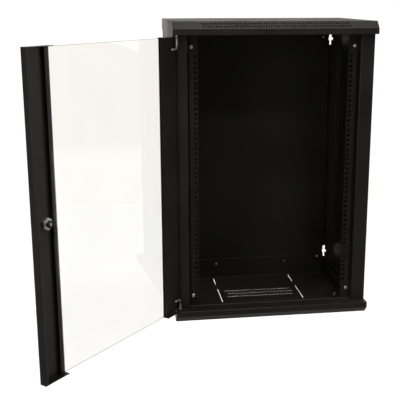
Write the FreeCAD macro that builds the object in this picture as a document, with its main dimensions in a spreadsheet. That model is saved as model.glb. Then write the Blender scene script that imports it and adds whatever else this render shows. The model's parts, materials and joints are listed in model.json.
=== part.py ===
import FreeCAD, Part
import math
import os
import re

import Sketcher

# Wall-mount rack cabinet with a glass door. The origin is the centre of the underside,
# +X is to the right seen from the front, +Y goes to the back and +Z is up.
# The door is built round its hinge axis as if closed, and is then placed open.

# Driving dimensions, in millimetres and degrees
SIZES = {
    # Cabinet box
    "cabinet_width": 600,
    "cabinet_depth": 400,
    "cabinet_height": 901,
    "cover_sheet": 1.5,
    "fold_radius": 2,
    "panel_sheet": 1.0,
    "panel_gap": 0.3,
    # Folded front edges at top and bottom
    "fascia_slope": 20,
    "fascia_lip": 17.5,
    "fascia_depth": 46,
    "fascia_return": 16,
    "fascia_rim": 2.5,
    # Upright flanges at the back of the covers
    "rear_flange": 70,
    "rear_panel_rise": 3,
    # Front posts
    "post_setback": 27,
    "post_width": 42,
    # Rear posts and their keyholes
    "rear_post_width": 43.2,
    "rear_post_side": 28,
    "rear_post_return": 20,
    "keyhole_inset": 13,
    "keyhole_rise": 82,
    "keyhole_drop": 69,
    "keyhole_slot": 8,
    "keyhole_stem": 5.5,
    "keyhole_height": 40,
    "keyhole_reach": 17.5,
    "keyhole_centre": 13,
    # Rack rails
    "unit_pitch": 44.45,
    "unit_first_hole": 6.35,
    "unit_hole_step": 15.875,
    "rack_hole": 9.5,
    "rack_hole_inset": 7.55,
    "rack_opening": 450,
    "rail_face": 27,
    "rail_flange": 25,
    "rail_sheet": 2,
    "rail_setback": 46,
    "rail_end_gap": 3.5,
    # Depth bars and rail brackets
    "bar_width": 30,
    "bar_end_gap": 1,
    "bar_slot": 7,
    "bar_slot_margin": 12,
    "bracket_sheet": 2,
    "bracket_height": 57,
    "bracket_inset": 3,
    "bracket_foot": 40,
    # Screws
    "rail_screw_inset": 18.3,
    "rail_screw_rise": 34.5,
    "rail_screw_shank": 6,
    "rail_screw_head": 12,
    "rail_screw_head_height": 3.5,
    "rail_screw_length": 14,
    "bolt_head": 10,
    "rear_screw_shank": 4,
    "rear_screw_head": 8,
    "rear_screw_head_height": 2.5,
    "rear_screw_across": 246,
    "rear_screw_rise": 52,
    "corner_screw_inset": 11.7,
    "corner_screw_rise": 63,
    "screw_clearance": 0.2,
    # Earth stud on the floor
    "stud_inset": 22,
    "stud_setback": 168,
    "stud_diameter": 6,
    "stud_height": 9,
    "stud_nut": 10,
    "stud_nut_height": 5,
    # Vent slots and the cable entry panels
    "vent_pitch": 7.5,
    "fascia_vent_margin": 80,
    "fascia_vent_width": 3,
    "fascia_vent_length": 8,
    "fascia_vent_gap": 3,
    "entry_vent_margin": 20,
    "entry_vent_width": 2.4,
    "entry_vent_length": 7,
    "entry_vent_row": 26,
    "entry_vent_setback": 204,
    "entry_width": 270,
    "entry_slit": 2.2,
    "entry_setback": 155,
    "entry_length": 235,
    "entry_end_tab": 3,
    "entry_bridge_start": 123,
    "entry_bridge": 45,
    # Door
    "door_open_angle": 130.6,
    "hinge_inset": 12,
    "hinge_setback": 11,
    "hinge_to_face": 10,
    "door_gap_side": 3,
    "door_gap_end": 3.3,
    "door_thickness": 20,
    "door_sheet": 1.2,
    "door_fold_radius": 1.5,
    "stile_width": 85,
    "stile_lip": 10,
    "hinge_lip": 6,
    "hinge_relief": 26,
    # Glass and seals
    "glass_thickness": 4,
    "glass_standoff": 1.5,
    "glass_end_gap": 1,
    "seal_width": 9,
    "seal_height": 8,
    "seal_bite": 7,
    "lock_seal_reach": 11,
    # Hinge pins
    "pin_diameter": 6,
    "pin_clearance": 0.1,
    "pin_reach": 8.5,
    "pin_bend": 7,
    "pin_handle": 25,
    "guide_width": 15,
    "guide_height": 27,
    "guide_sheet": 2,
    "guide_reach": 7,
    "guide_to_bend": 1,
    "clip_start": 4,
    "clip_sheet": 1.5,
    "clip_width": 10,
    "spring_wire": 1.2,
    "spring_diameter": 9.6,
    "spring_turns": 4,
    "spring_facets": 8,
    "spring_gap": 0.3,
    # Lock
    "lock_from_edge": 50.5,
    "lock_height": 441,
    "bezel_diameter": 24,
    "bezel_height": 3,
    "barrel_diameter": 19,
    "barrel_clearance": 0.1,
    "lock_nut_width": 28,
    "lock_nut_height": 6,
    "barrel_past_nut": 1.5,
    "plug_diameter": 12,
    "plug_clearance": 0.1,
    "key_slot_width": 2,
    "key_slot_height": 8,
    "key_slot_depth": 4,
    "cam_clearance": 1,
    "cam_gap": 1,
    "cam_sheet": 2.5,
    "cam_hub": 18,
    "cam_width": 10,
    "cam_crank": 7.5,
    "cam_length": 28,
    "cam_notch_margin": 6,
    "cam_screw_head": 8,
    "cam_screw_head_height": 3.5,
    "cam_screw_shank": 5,
    "cam_screw_depth": 6,
    # How far a cut runs past the face it opens
    "overrun": 1,
}

# Places that follow from the driving dimensions. The door's are measured from its hinge axis.
LAYOUT = {
    "half_width": "cabinet_width / 2",
    "front": "-cabinet_depth / 2",
    "back": "cabinet_depth / 2",
    "fascia_height": "fascia_slope + fascia_lip",
    "fascia_back": "front + fascia_depth",
    "slope_inner": "cover_sheet * tan(22.5 deg)",
    "skirt_inner": "half_width - cover_sheet",
    "panel_outer": "skirt_inner - panel_gap",
    "panel_inner": "panel_outer - panel_sheet",
    "rear_layer": "back - cover_sheet",
    "flange_layer": "rear_layer - cover_sheet",
    "post_front": "front + post_setback",
    "post_inner": "panel_outer - post_width",
    "rear_post_inner": "panel_outer - rear_post_width",
    "middle_height": "cabinet_height / 2",
    "keyhole_x": "rear_post_inner + keyhole_inset",
    "keyhole_high": "cabinet_height - keyhole_drop",
    "corner_screw_x": "rear_post_inner - corner_screw_inset",
    "rail_front": "front + rail_setback",
    "rail_back": "rail_front + rail_sheet",
    "rail_inner": "rack_opening / 2",
    "rail_outer": "rail_inner + rail_face",
    "rail_bottom": "fascia_height + rail_end_gap",
    "rail_top": "cabinet_height - rail_bottom",
    "rack_units": "floor((rail_top - rail_bottom) / unit_pitch)",
    "rack_bottom": "middle_height - rack_units * unit_pitch / 2",
    "rack_hole_x": "rail_inner + rack_hole_inset",
    "rail_flange_trim": "fascia_height + bracket_height + rail_sheet",
    "bar_inner": "panel_inner - bar_width",
    "bar_back": "rear_layer - rear_post_side - bar_end_gap",
    "bar_middle": "panel_inner - bar_width / 2",
    "bracket_back": "rail_back + bracket_sheet",
    "bolt_y": "rail_back + bracket_foot / 2",
    "rail_screw_x": "rail_inner + rail_screw_inset",
    "rail_screw_low": "fascia_height + rail_screw_rise",
    "rail_screw_high": "cabinet_height - rail_screw_low",
    "slot_depth": "2 * cover_sheet",
    "fascia_vents": "floor((cabinet_width - 2 * fascia_vent_margin) / vent_pitch)",
    "entry_vents": "floor((entry_width - 2 * entry_vent_margin) / vent_pitch)",
    "entry_front": "front + entry_setback",
    "entry_back": "entry_front + entry_length",
    "entry_inner": "entry_width / 2 - entry_slit / 2",
    "entry_outer": "entry_width / 2 + entry_slit / 2",
    "entry_bridge_front": "entry_front + entry_bridge_start",
    "entry_vent_front": "front + entry_vent_setback",
    "stud_x": "bar_inner - stud_inset",
    "stud_y": "front + stud_setback",
    "hinge_x": "hinge_inset - half_width",
    "hinge_y": "front + hinge_setback",
    "door_bottom": "fascia_height + door_gap_end",
    "door_top": "cabinet_height - fascia_height - door_gap_end",
    "door_outer": "-hinge_to_face",
    "door_inner": "door_thickness - hinge_to_face",
    "wall_inner": "door_outer + door_sheet",
    "hinge_edge": "door_gap_side - hinge_inset",
    "free_edge": "cabinet_width - hinge_inset - door_gap_side",
    "lock_stile_edge": "free_edge - stile_width",
    "hinge_stile_edge": "hinge_edge + stile_width",
    "hinge_box_edge": "hinge_edge + hinge_relief",
    "stile_floor": "door_bottom + door_sheet",
    "stile_ceiling": "door_top - door_sheet",
    "glass_front": "wall_inner + glass_standoff",
    "glass_back": "glass_front + glass_thickness",
    "seal_back": "wall_inner + seal_height",
    "lock_seal_edge": "lock_stile_edge + lock_seal_reach",
    "hinge_seal_edge": "hinge_stile_edge - seal_width",
    "glass_right": "lock_seal_edge + seal_bite",
    "glass_left": "hinge_stile_edge - seal_bite",
    "pin_radius": "pin_diameter / 2",
    "pin_bore": "pin_radius + pin_clearance",
    "pin_straight": "guide_height + guide_to_bend",
    "pin_out": "door_gap_end + pin_reach",
    "spring_start": "clip_start + clip_sheet + spring_gap",
    "spring_end": "guide_height - guide_sheet",
    "lock_x": "free_edge - lock_from_edge",
    "barrel_radius": "barrel_diameter / 2",
    "plug_radius": "plug_diameter / 2",
    "bezel_front": "door_outer - bezel_height",
    "cam_front": "post_setback + cover_sheet + cam_clearance - hinge_setback",
    "cam_back": "cam_front + cam_sheet",
    "barrel_end": "wall_inner + lock_nut_height + barrel_past_nut",
    "hub_front": "barrel_end + cam_gap",
    "hub_back": "hub_front + cam_sheet",
    "cam_notch_low": "lock_height - cam_length - cam_notch_margin",
    "cam_notch_high": "lock_height + cam_hub / 2 + cam_notch_margin",
}

# Axis that each origin plane faces, and the sense of its normal along that axis
PLANES = {"XY_Plane": 1, "XZ_Plane": -1, "YZ_Plane": 1}
WORD = re.compile(r"[a-z][a-z_]*")
# Distance within which two places count as one
SAME = 1e-6
SIDES = {"left": "-", "right": ""}
UP = FreeCAD.Vector(0, 0, 1)
BACKWARDS = FreeCAD.Vector(0, 1, 0)
# Flat sides that stand for a small round or threaded form, and straight runs in a pin's bend
ROUND_SIDES = 12
BEND_RUNS = 2
# Square holes to each rack unit, and rows of slots in the floor's cable entry
UNIT_HOLES = 3
ENTRY_VENT_ROWS = 3
# The front edges slope as far back as they rise
SLOPE_ANGLE = 45

doc = FreeCAD.newDocument("RackCabinet")


def bound(text):
    """Put the sheet's name before each size or place in a formula."""

    def named(match):
        word = match.group(0)
        if word in SIZES:
            return "Sizes." + word
        if word in LAYOUT:
            return "Layout." + word
        return word

    return WORD.sub(named, text)


def fill_sheet(name, cells, formula):
    """Make a sheet with one aliased cell per entry."""
    sheet = doc.addObject("Spreadsheet::Sheet", name)
    for row, (alias, content) in enumerate(cells.items(), start=1):
        cell = "A%d" % row
        sheet.setAlias(cell, alias)
        sheet.set(cell, "=" + bound(content) if formula else str(content))
    return sheet


sizes = fill_sheet("Sizes", SIZES, formula=False)
layout = fill_sheet("Layout", LAYOUT, formula=True)
doc.recompute()


def size(word):
    """Current value of a size or place, for shapes that are scripted."""
    sheet = sizes if word in SIZES else layout
    return float(sheet.get(word))


def bind(thing, **formulas):
    """Bind properties to formulas; a double underscore stands for a dot."""
    for name, formula in formulas.items():
        thing.setExpression(name.replace("__", "."), bound(formula))


def hang_on_hinge(thing):
    """Place a door piece on the hinge axis at the angle where the door stands."""
    thing.Placement = FreeCAD.Placement(FreeCAD.Vector(), FreeCAD.Rotation(FreeCAD.Vector(0, 0, 1), -1))
    bind(
        thing,
        Placement__Base__x="hinge_x",
        Placement__Base__y="hinge_y",
        Placement__Rotation__Angle="-door_open_angle",
    )


def rectangle(left, right, low, high):
    """Corners of an upright rectangle."""
    return [(left, low), (right, low), (right, high), (left, high)]


def negated(formula):
    """The same distance on the other side of zero."""
    return "-(%s)" % formula


def on_side(side, corners):
    """Corners of a right-hand outline, moved over to the side that is asked for."""
    return [(SIDES[side] + "(%s)" % x, y) for x, y in corners]


def runs_through(edge, place, along):
    """Whether both ends of an edge lie on the line through a place in one direction."""
    offsets = [(vertex.Point - place).cross(along).Length for vertex in edge.Vertexes]
    return len(offsets) == 2 and max(offsets) < SAME


class Piece:
    """One sheet-metal, turned or moulded sub-part, built feature by feature."""

    made = []

    def __init__(self, label, on_door=False):
        self.body = doc.addObject("PartDesign::Body", label)
        self.body.Label = label
        if on_door:
            hang_on_hinge(self.body)
        Piece.made.append(self.body)

    def sketch(self, plane, loops, offset):
        """Draw closed loops on an origin plane: lists of corners, or circles of x, y and radius."""
        sketch = self.body.newObject("Sketcher::SketchObject", "Outline")
        support = [f for f in self.body.Origin.OriginFeatures if f.Role == plane]
        sketch.AttachmentSupport = [(support[0], "")]
        sketch.MapMode = "FlatFace"
        bind(sketch, AttachmentOffset__Base__z=offset)
        for loop in loops:
            if isinstance(loop, tuple):
                self.draw_circle(sketch, *loop)
            else:
                self.draw_corners(sketch, loop)
        return sketch

    @staticmethod
    def pin_down(sketch, geometry, point, x, y):
        """Tie one point of a sketch to its two coordinates."""
        for kind, formula in (("DistanceX", x), ("DistanceY", y)):
            index = sketch.addConstraint(Sketcher.Constraint(kind, -1, 1, geometry, point, 1.0))
            sketch.setExpression("Constraints[%d]" % index, bound(formula))

    def draw_circle(self, sketch, x, y, radius):
        """Add a circle bound to its centre and radius."""
        start = Part.Circle(FreeCAD.Vector(1, 1, 0), FreeCAD.Vector(0, 0, 1), 1)
        circle = sketch.addGeometry(start, False)
        self.pin_down(sketch, circle, 3, x, y)
        index = sketch.addConstraint(Sketcher.Constraint("Radius", circle, 1.0))
        sketch.setExpression("Constraints[%d]" % index, bound(radius))

    def draw_path(self, plane, places):
        """Draw an open run of straight lines bound to its places."""
        sketch = self.sketch(plane, [], "0")
        for start, end in zip(places, places[1:]):
            line = sketch.addGeometry(Part.LineSegment(FreeCAD.Vector(), FreeCAD.Vector(0, 1, 0)), False)
            self.pin_down(sketch, line, 1, *start)
            self.pin_down(sketch, line, 2, *end)
        return sketch

    def draw_corners(self, sketch, corners):
        """Add a closed run of straight lines bound to its corners."""
        count = len(corners)
        turn = 2 * math.pi / count
        ring = [FreeCAD.Vector(math.cos(turn * i), math.sin(turn * i), 0) for i in range(count)]
        lines = [Part.LineSegment(ring[i], ring[(i + 1) % count]) for i in range(count)]
        ids = sketch.addGeometry(lines, False)
        for i, line in enumerate(ids):
            sketch.addConstraint(Sketcher.Constraint("Coincident", line, 2, ids[(i + 1) % count], 1))
        for line, (x, y) in zip(ids, corners):
            self.pin_down(sketch, line, 1, x, y)

    def extrude(self, kind, plane, loops, low, high, offset):
        """Run loops from one coordinate to another along the plane's own axis."""
        feature = self.body.newObject("PartDesign::" + kind, kind)
        feature.Profile = self.sketch(plane, loops, offset)
        bind(feature, Length="(%s) - (%s)" % (high, low))
        doc.recompute()
        return feature

    def add(self, plane, loops, low, high):
        """Add material between two coordinates."""
        offset = low if PLANES[plane] > 0 else negated(high)
        return self.extrude("Pad", plane, loops, low, high, offset)

    def cut(self, plane, loops, low, high):
        """Remove material between two coordinates."""
        offset = high if PLANES[plane] > 0 else negated(low)
        return self.extrude("Pocket", plane, loops, low, high, offset)

    def soften(self, feature, corners, radius):
        """Round the folds that run out from some corners of a feature's outline."""
        sketch = feature.Profile[0]
        along = sketch.Placement.Rotation.multVec(FreeCAD.Vector(0, 0, 1))
        folds = []
        for corner in corners:
            place = sketch.Placement.multVec(sketch.Geometry[corner].StartPoint)
            for number, edge in enumerate(feature.Shape.Edges, start=1):
                if runs_through(edge, place, along):
                    folds.append("Edge%d" % number)
        fillet = self.body.newObject("PartDesign::Fillet", "Fold")
        fillet.Base = (feature, folds)
        bind(fillet, Radius=radius)
        doc.recompute()

    def repeat(self, feature, axis, length, count):
        """Repeat a cut in a straight row along one of its sketch's axes."""
        pattern = self.body.newObject("PartDesign::LinearPattern", "Row")
        pattern.Originals = [feature]
        pattern.Direction = (feature.Profile[0], [axis])
        bind(pattern, Length=length, Occurrences=count)
        self.body.Tip = pattern
        doc.recompute()
        return pattern


def from_end(end, near, far):
    """Low and high coordinates of a span given by its distances in from one end of the door."""
    if end == "upper":
        return "door_top - (%s)" % far, "door_top - (%s)" % near
    return "door_bottom + (%s)" % near, "door_bottom + (%s)" % far


def from_face(end, near, far):
    """Low and high coordinates of a span given by its distances in from the cabinet's top or underside."""
    if end == "upper":
        return "cabinet_height - (%s)" % far, "cabinet_height - (%s)" % near
    return "(%s)" % near, "(%s)" % far


def height_from(end, distance):
    """Height of a level given by its distance from the cabinet's top or underside."""
    return from_face(end, distance, distance)[0]


# Front edge: slope, lip, ledge and a short return, closed at both ends, with a low rim
# along the back of the ledge between the posts
def make_fascia(end, label):
    piece = Piece(label)

    def level(y, distance):
        return y, height_from(end, distance)

    outline = [
        level("fascia_back", "0"),
        level("front + fascia_slope", "0"),
        level("front", "fascia_slope"),
        level("front", "fascia_height"),
        level("fascia_back", "fascia_height"),
    ]
    hollow = [
        level("fascia_back + overrun", "cover_sheet"),
        level("front + fascia_slope + slope_inner", "cover_sheet"),
        level("front + cover_sheet", "fascia_slope + slope_inner"),
        level("front + cover_sheet", "fascia_height - cover_sheet"),
        level("fascia_back - cover_sheet", "fascia_height - cover_sheet"),
        level("fascia_back - cover_sheet", "fascia_height - fascia_return"),
        level("fascia_back + overrun", "fascia_height - fascia_return"),
    ]
    block = piece.add("YZ_Plane", [outline], "-half_width", "half_width")
    piece.soften(block, range(1, 5), "fold_radius")
    piece.cut("YZ_Plane", [hollow], "-skirt_inner", "skirt_inner")
    span = from_face(end, "fascia_height - fascia_return", "fascia_height + fascia_rim")
    rim = rectangle("-post_inner", "post_inner", *span)
    piece.add("XZ_Plane", [rim], "fascia_back - cover_sheet", "fascia_back")
    low, high = from_face(end, "fascia_height - cover_sheet - overrun", "fascia_height + overrun")
    piece.cut("XY_Plane", [("hinge_x", "hinge_y", "pin_bore")], low, high)
    return piece


# Two staggered rows of slots across the slope of the top front edge
def cut_fascia_vents(piece):
    left = "-vent_pitch * (fascia_vents - 0.5) / 2"
    upper = ("fascia_vent_gap / 2", "fascia_vent_gap / 2 + fascia_vent_length")
    lower = ("-fascia_vent_gap / 2 - fascia_vent_length", "-fascia_vent_gap / 2")
    rows = [
        rectangle(left + " - fascia_vent_width / 2", left + " + fascia_vent_width / 2", *upper),
        rectangle(
            left + " + (vent_pitch - fascia_vent_width) / 2",
            left + " + (vent_pitch + fascia_vent_width) / 2",
            *lower,
        ),
    ]
    slots = piece.cut("XY_Plane", rows, "-slot_depth", "0")
    outline = slots.Profile[0]
    tilt = FreeCAD.Rotation(FreeCAD.Vector(1, 0, 0), SLOPE_ANGLE)
    outline.AttachmentOffset = FreeCAD.Placement(FreeCAD.Vector(), tilt)
    bind(
        outline,
        AttachmentOffset__Base__y="front + fascia_slope / 2",
        AttachmentOffset__Base__z="cabinet_height - fascia_slope / 2",
    )
    piece.repeat(slots, "H_Axis", "vent_pitch * (fascia_vents - 1)", "fascia_vents")


# Top and bottom covers: a plate with side skirts and an upright flange at the back
def make_cover(end, label):
    piece = Piece(label)
    face = height_from(end, "0")
    inner = height_from(end, "cover_sheet")
    rim = height_from(end, "fascia_height")
    section = [
        ("-half_width", rim),
        ("-half_width", face),
        ("half_width", face),
        ("half_width", rim),
        ("skirt_inner", rim),
        ("skirt_inner", inner),
        ("-skirt_inner", inner),
        ("-skirt_inner", rim),
    ]
    tray = piece.add("XZ_Plane", [section], "fascia_back", "back")
    piece.soften(tray, (1, 2), "fold_radius")
    entry = rectangle("-entry_outer", "entry_outer", "entry_front", "entry_back")
    piece.cut("XY_Plane", [entry], *from_face(end, "-overrun", "cover_sheet + overrun"))
    flange = rectangle("-rear_post_inner", "rear_post_inner", *from_face(end, "0", "rear_flange"))
    piece.add("XZ_Plane", [flange], "flange_layer", "rear_layer")
    piece.cut("XZ_Plane", rear_screw_holes(end), "flange_layer - overrun", "rear_layer + overrun")


def rear_screw_places(end):
    """Where the rear panel's screws stand along one cover's flange."""
    middle = height_from(end, "rear_screw_rise")
    corner = height_from(end, "corner_screw_rise")
    return [
        ("-rear_screw_across / 2", middle),
        ("rear_screw_across / 2", middle),
        ("-corner_screw_x", corner),
        ("corner_screw_x", corner),
    ]


def rear_screw_holes(end):
    """Clearance holes for the rear panel's screws."""
    return [screw_hole(x, z, "rear_screw_shank") for x, z in rear_screw_places(end)]


def screw_hole(x, y, shank):
    """Six-sided clearance hole for a screw's shank, out of sight under its head."""
    return polygon(x, y, "(%s + 2 * screw_clearance)" % shank)


def polygon(x, y, across_flats, sides=6):
    """Corners of an even-sided outline round a centre, with one corner straight down."""
    reach = "%s / (2 * cos(%g deg))" % (across_flats, 180 / sides)
    corners = []
    for step in range(sides):
        angle = 360 * step / sides
        across = "%s + %s * sin(%g deg)" % (x, reach, angle)
        corners.append((across, "%s - %s * cos(%g deg)" % (y, reach, angle)))
    return corners


# Knock-out cable entry: slits down both sides and bridges to the cover
def make_entry_panel(end, label):
    piece = Piece(label)
    span = from_face(end, "0", "cover_sheet")
    tabs = [
        rectangle("-entry_outer", "entry_outer", "entry_front", "entry_front + entry_end_tab"),
        rectangle("-entry_outer", "entry_outer", "entry_bridge_front", "entry_bridge_front + entry_bridge"),
        rectangle("-entry_outer", "entry_outer", "entry_back - entry_end_tab", "entry_back"),
    ]
    piece.add("XY_Plane", [rectangle("-entry_inner", "entry_inner", "entry_front", "entry_back")], *span)
    piece.add("XY_Plane", tabs, *span)
    return piece


# Three rows of vent slots through a cable entry panel, the middle row half a pitch along
def cut_entry_vents(piece, end):
    left = "-vent_pitch * (entry_vents - 0.5) / 2"
    rows = []
    for row in range(ENTRY_VENT_ROWS):
        middle = left + (" + vent_pitch / 2" if row % 2 else "")
        centre = "entry_vent_front + %d * entry_vent_row" % row
        rows.append(
            rectangle(
                middle + " - entry_vent_width / 2",
                middle + " + entry_vent_width / 2",
                centre + " - entry_vent_length / 2",
                centre + " + entry_vent_length / 2",
            )
        )
    through = from_face(end, "-overrun", "cover_sheet + overrun")
    slots = piece.cut("XY_Plane", rows, *through)
    piece.repeat(slots, "H_Axis", "vent_pitch * (entry_vents - 1)", "entry_vents")


# Side panels stand between the covers, behind the front posts
def make_side_panel(side):
    piece = Piece(side + "_side_panel")
    sheet = rectangle("fascia_back", "rear_layer", "cover_sheet", "cabinet_height - cover_sheet")
    span = ("panel_inner", "panel_outer")
    if side == "left":
        span = ("-panel_outer", "-panel_inner")
    piece.add("YZ_Plane", [sheet], *span)


def make_rear_panel():
    piece = Piece("rear_panel")
    sheet = rectangle(
        "-rear_post_inner", "rear_post_inner", "rear_panel_rise", "cabinet_height - rear_panel_rise"
    )
    piece.add("XZ_Plane", [sheet], "rear_layer", "rear_layer + panel_sheet")
    holes = rear_screw_holes("lower") + rear_screw_holes("upper")
    piece.cut("XZ_Plane", holes, "rear_layer - overrun", "rear_layer + panel_sheet + overrun")


# Front posts: channels that stand on the ledges, the right one notched for the lock's cam
def make_front_post(side):
    piece = Piece(side + "_front_post")
    section = [
        ("post_inner", "post_front"),
        ("panel_outer", "post_front"),
        ("panel_outer", "fascia_back"),
        ("panel_outer - cover_sheet", "fascia_back"),
        ("panel_outer - cover_sheet", "post_front + cover_sheet"),
        ("post_inner + cover_sheet", "post_front + cover_sheet"),
        ("post_inner + cover_sheet", "fascia_back"),
        ("post_inner", "fascia_back"),
    ]
    post = piece.add("XY_Plane", [on_side(side, section)], "fascia_height", "cabinet_height - fascia_height")
    piece.soften(post, (0, 1), "fold_radius")
    if side == "right":
        notch = rectangle(
            "post_inner - overrun",
            "post_inner + cover_sheet + overrun",
            "post_front + cover_sheet",
            "fascia_back + overrun",
        )
        piece.cut("XY_Plane", [notch], "cam_notch_low", "cam_notch_high")


# Rear posts: channels whose rear face lies on the wall and hangs on four wall screws
def make_rear_post(side):
    piece = Piece(side + "_rear_post")
    section = [
        ("rear_post_inner", "back"),
        ("panel_outer", "back"),
        ("panel_outer", "rear_layer"),
        ("panel_inner", "rear_layer"),
        ("panel_inner", "rear_layer - rear_post_side"),
        ("panel_inner - cover_sheet", "rear_layer - rear_post_side"),
        ("panel_inner - cover_sheet", "rear_layer"),
        ("rear_post_inner + cover_sheet", "rear_layer"),
        ("rear_post_inner + cover_sheet", "rear_layer - rear_post_return"),
        ("rear_post_inner", "rear_layer - rear_post_return"),
    ]
    piece.add("XY_Plane", [on_side(side, section)], "cover_sheet", "cabinet_height - cover_sheet")
    for loops in keyhole_cuts(SIDES[side] + "keyhole_x"):
        piece.cut("XZ_Plane", loops, "rear_layer - overrun", "back + overrun")


def keyhole_cuts(x):
    """Loops of the cross-shaped keyholes, in groups that don't touch one another."""
    slots, stems, arms, centres = [], [], [], []
    for z in ("keyhole_rise", "keyhole_high"):
        slots.append(box_round(x, z + " + keyhole_height / 4", "keyhole_slot", "keyhole_height / 2"))
        stems.append(box_round(x, z + " - keyhole_height / 4", "keyhole_stem", "keyhole_height / 2"))
        arms.append(box_round(x, z, "keyhole_reach", "keyhole_slot"))
        centres.append((x, z, "keyhole_centre / 2"))
    return slots, stems, arms, centres


def box_round(x, y, width, height):
    """Corners of a rectangle round a centre."""
    left, right = "%s - (%s) / 2" % (x, width), "%s + (%s) / 2" % (x, width)
    low, high = "%s - (%s) / 2" % (y, height), "%s + (%s) / 2" % (y, height)
    return rectangle(left, right, low, high)


# Depth bars: upturned channels along the sides, slotted so that the rails can stand nearer or deeper
def make_depth_bar(side, end):
    piece = Piece("%s_%s_depth_bar" % (side, end))
    foot = height_from(end, "cover_sheet")
    under = height_from(end, "fascia_height - cover_sheet")
    crown = height_from(end, "fascia_height")
    section = [
        ("bar_inner", foot),
        ("bar_inner", crown),
        ("panel_inner", crown),
        ("panel_inner", foot),
        ("panel_inner - cover_sheet", foot),
        ("panel_inner - cover_sheet", under),
        ("bar_inner + cover_sheet", under),
        ("bar_inner + cover_sheet", foot),
    ]
    slot = on_side(
        side,
        rectangle(
            "bar_middle - bar_slot / 2",
            "bar_middle + bar_slot / 2",
            "fascia_back + bar_slot_margin",
            "bar_back - bar_slot_margin",
        ),
    )
    piece.add("XZ_Plane", [on_side(side, section)], "fascia_back", "bar_back")
    piece.cut("XY_Plane", [slot], *from_face(end, "fascia_height / 2", "fascia_height + overrun"))


# Rail brackets: a plate behind the end of the rail and a foot bolted to the depth bar
def make_rail_bracket(side, end):
    piece = Piece("%s_%s_rail_bracket" % (side, end))
    low, high = from_face(end, "fascia_height", "fascia_height + bracket_height")
    plate = on_side(
        side, rectangle("rail_inner + bracket_inset", "panel_inner - bracket_inset", low, high)
    )
    foot = on_side(
        side,
        rectangle("bar_inner", "panel_inner - bracket_inset", "rail_back", "rail_back + bracket_foot"),
    )
    screw = (SIDES[side] + "rail_screw_x", "rail_screw_low" if end == "lower" else "rail_screw_high")
    bolt = (SIDES[side] + "bar_middle", "bolt_y")
    piece.add("XZ_Plane", [plate], "rail_back", "bracket_back")
    piece.add("XY_Plane", [foot], *from_face(end, "fascia_height", "fascia_height + bracket_sheet"))
    hole = screw_hole(*screw, "rail_screw_shank")
    piece.cut("XZ_Plane", [hole], "rail_back - overrun", "bracket_back + overrun")
    through = from_face(end, "fascia_height - overrun", "fascia_height + bracket_sheet + overrun")
    piece.cut("XY_Plane", [screw_hole(*bolt, "rail_screw_shank")], *through)


# Rack rails: angles with three square holes to each rack unit
def make_rack_rail(side):
    piece = Piece(side + "_rack_rail")
    section = [
        ("rail_inner", "rail_front"),
        ("rail_outer", "rail_front"),
        ("rail_outer", "rail_back + rail_flange"),
        ("rail_outer - rail_sheet", "rail_back + rail_flange"),
        ("rail_outer - rail_sheet", "rail_back"),
        ("rail_inner", "rail_back"),
    ]
    angle = piece.add("XY_Plane", [on_side(side, section)], "rail_bottom", "rail_top")
    piece.soften(angle, (1,), "fold_radius")
    behind = ("rail_back", "rail_back + rail_flange + overrun")
    trim = on_side(side, rectangle("rail_inner - overrun", "rail_outer + overrun", *behind))
    piece.cut("XY_Plane", [trim], "rail_bottom - overrun", "rail_flange_trim")
    piece.cut("XY_Plane", [trim], "cabinet_height - rail_flange_trim", "rail_top + overrun")
    screws = [
        screw_hole(SIDES[side] + "rail_screw_x", z, "rail_screw_shank")
        for z in ("rail_screw_low", "rail_screw_high")
    ]
    piece.cut("XZ_Plane", screws, "rail_front - overrun", "rail_back + overrun")
    holes = []
    for step in range(UNIT_HOLES):
        middle = "rack_bottom + unit_first_hole + %d * unit_hole_step" % step
        holes.append(on_side(side, box_round("rack_hole_x", middle, "rack_hole", "rack_hole")))
    unit = piece.cut("XZ_Plane", holes, "rail_front - overrun", "rail_back + overrun")
    piece.repeat(unit, "V_Axis", "unit_pitch * (rack_units - 1)", "rack_units")


# Screws: a head on a plain six-sided shank, one group of solids to a node
def prism(place, towards, up, across_flats, length, sides=6):
    """A bar with flat sides that starts at a place, with one corner turned up."""
    spoke = up * (across_flats / 2 / math.cos(math.pi / sides))
    turns = [FreeCAD.Rotation(towards, 360 * step / sides) for step in range(sides)]
    return flat_face([place + turn.multVec(spoke) for turn in turns]).extrude(towards * length)


def flat_face(corners):
    """A flat face with straight sides."""
    return Part.Face(Part.makePolygon(corners + corners[:1]))


def make_group(label, solids):
    """One node that holds several separate solids."""
    group = doc.addObject("Part::Feature", label)
    group.Label = label
    group.Shape = Part.makeCompound(solids)
    Piece.made.append(group)


def make_rail_screws():
    solids = []
    for x in (-size("rail_screw_x"), size("rail_screw_x")):
        for z in (size("rail_screw_low"), size("rail_screw_high")):
            place = FreeCAD.Vector(x, size("rail_front"), z)
            head_height = size("rail_screw_head_height")
            head = prism(place, -BACKWARDS, UP, size("rail_screw_head"), head_height, ROUND_SIDES)
            shank = prism(place, BACKWARDS, UP, size("rail_screw_shank"), size("rail_screw_length"))
            solids.append(head.fuse(shank))
    make_group("rail_screws", solids)


def make_bracket_bolts():
    level = size("fascia_height") + size("bracket_sheet")
    solids = []
    for x in (-size("bar_middle"), size("bar_middle")):
        for z, towards in ((level, -UP), (size("cabinet_height") - level, UP)):
            place = FreeCAD.Vector(x, size("bolt_y"), z)
            head = prism(place, -towards, BACKWARDS, size("bolt_head"), size("rail_screw_head_height"))
            shank = prism(place, towards, BACKWARDS, size("rail_screw_shank"), size("rail_screw_length"))
            solids.append(head.fuse(shank))
    make_group("bracket_bolts", solids)


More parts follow.
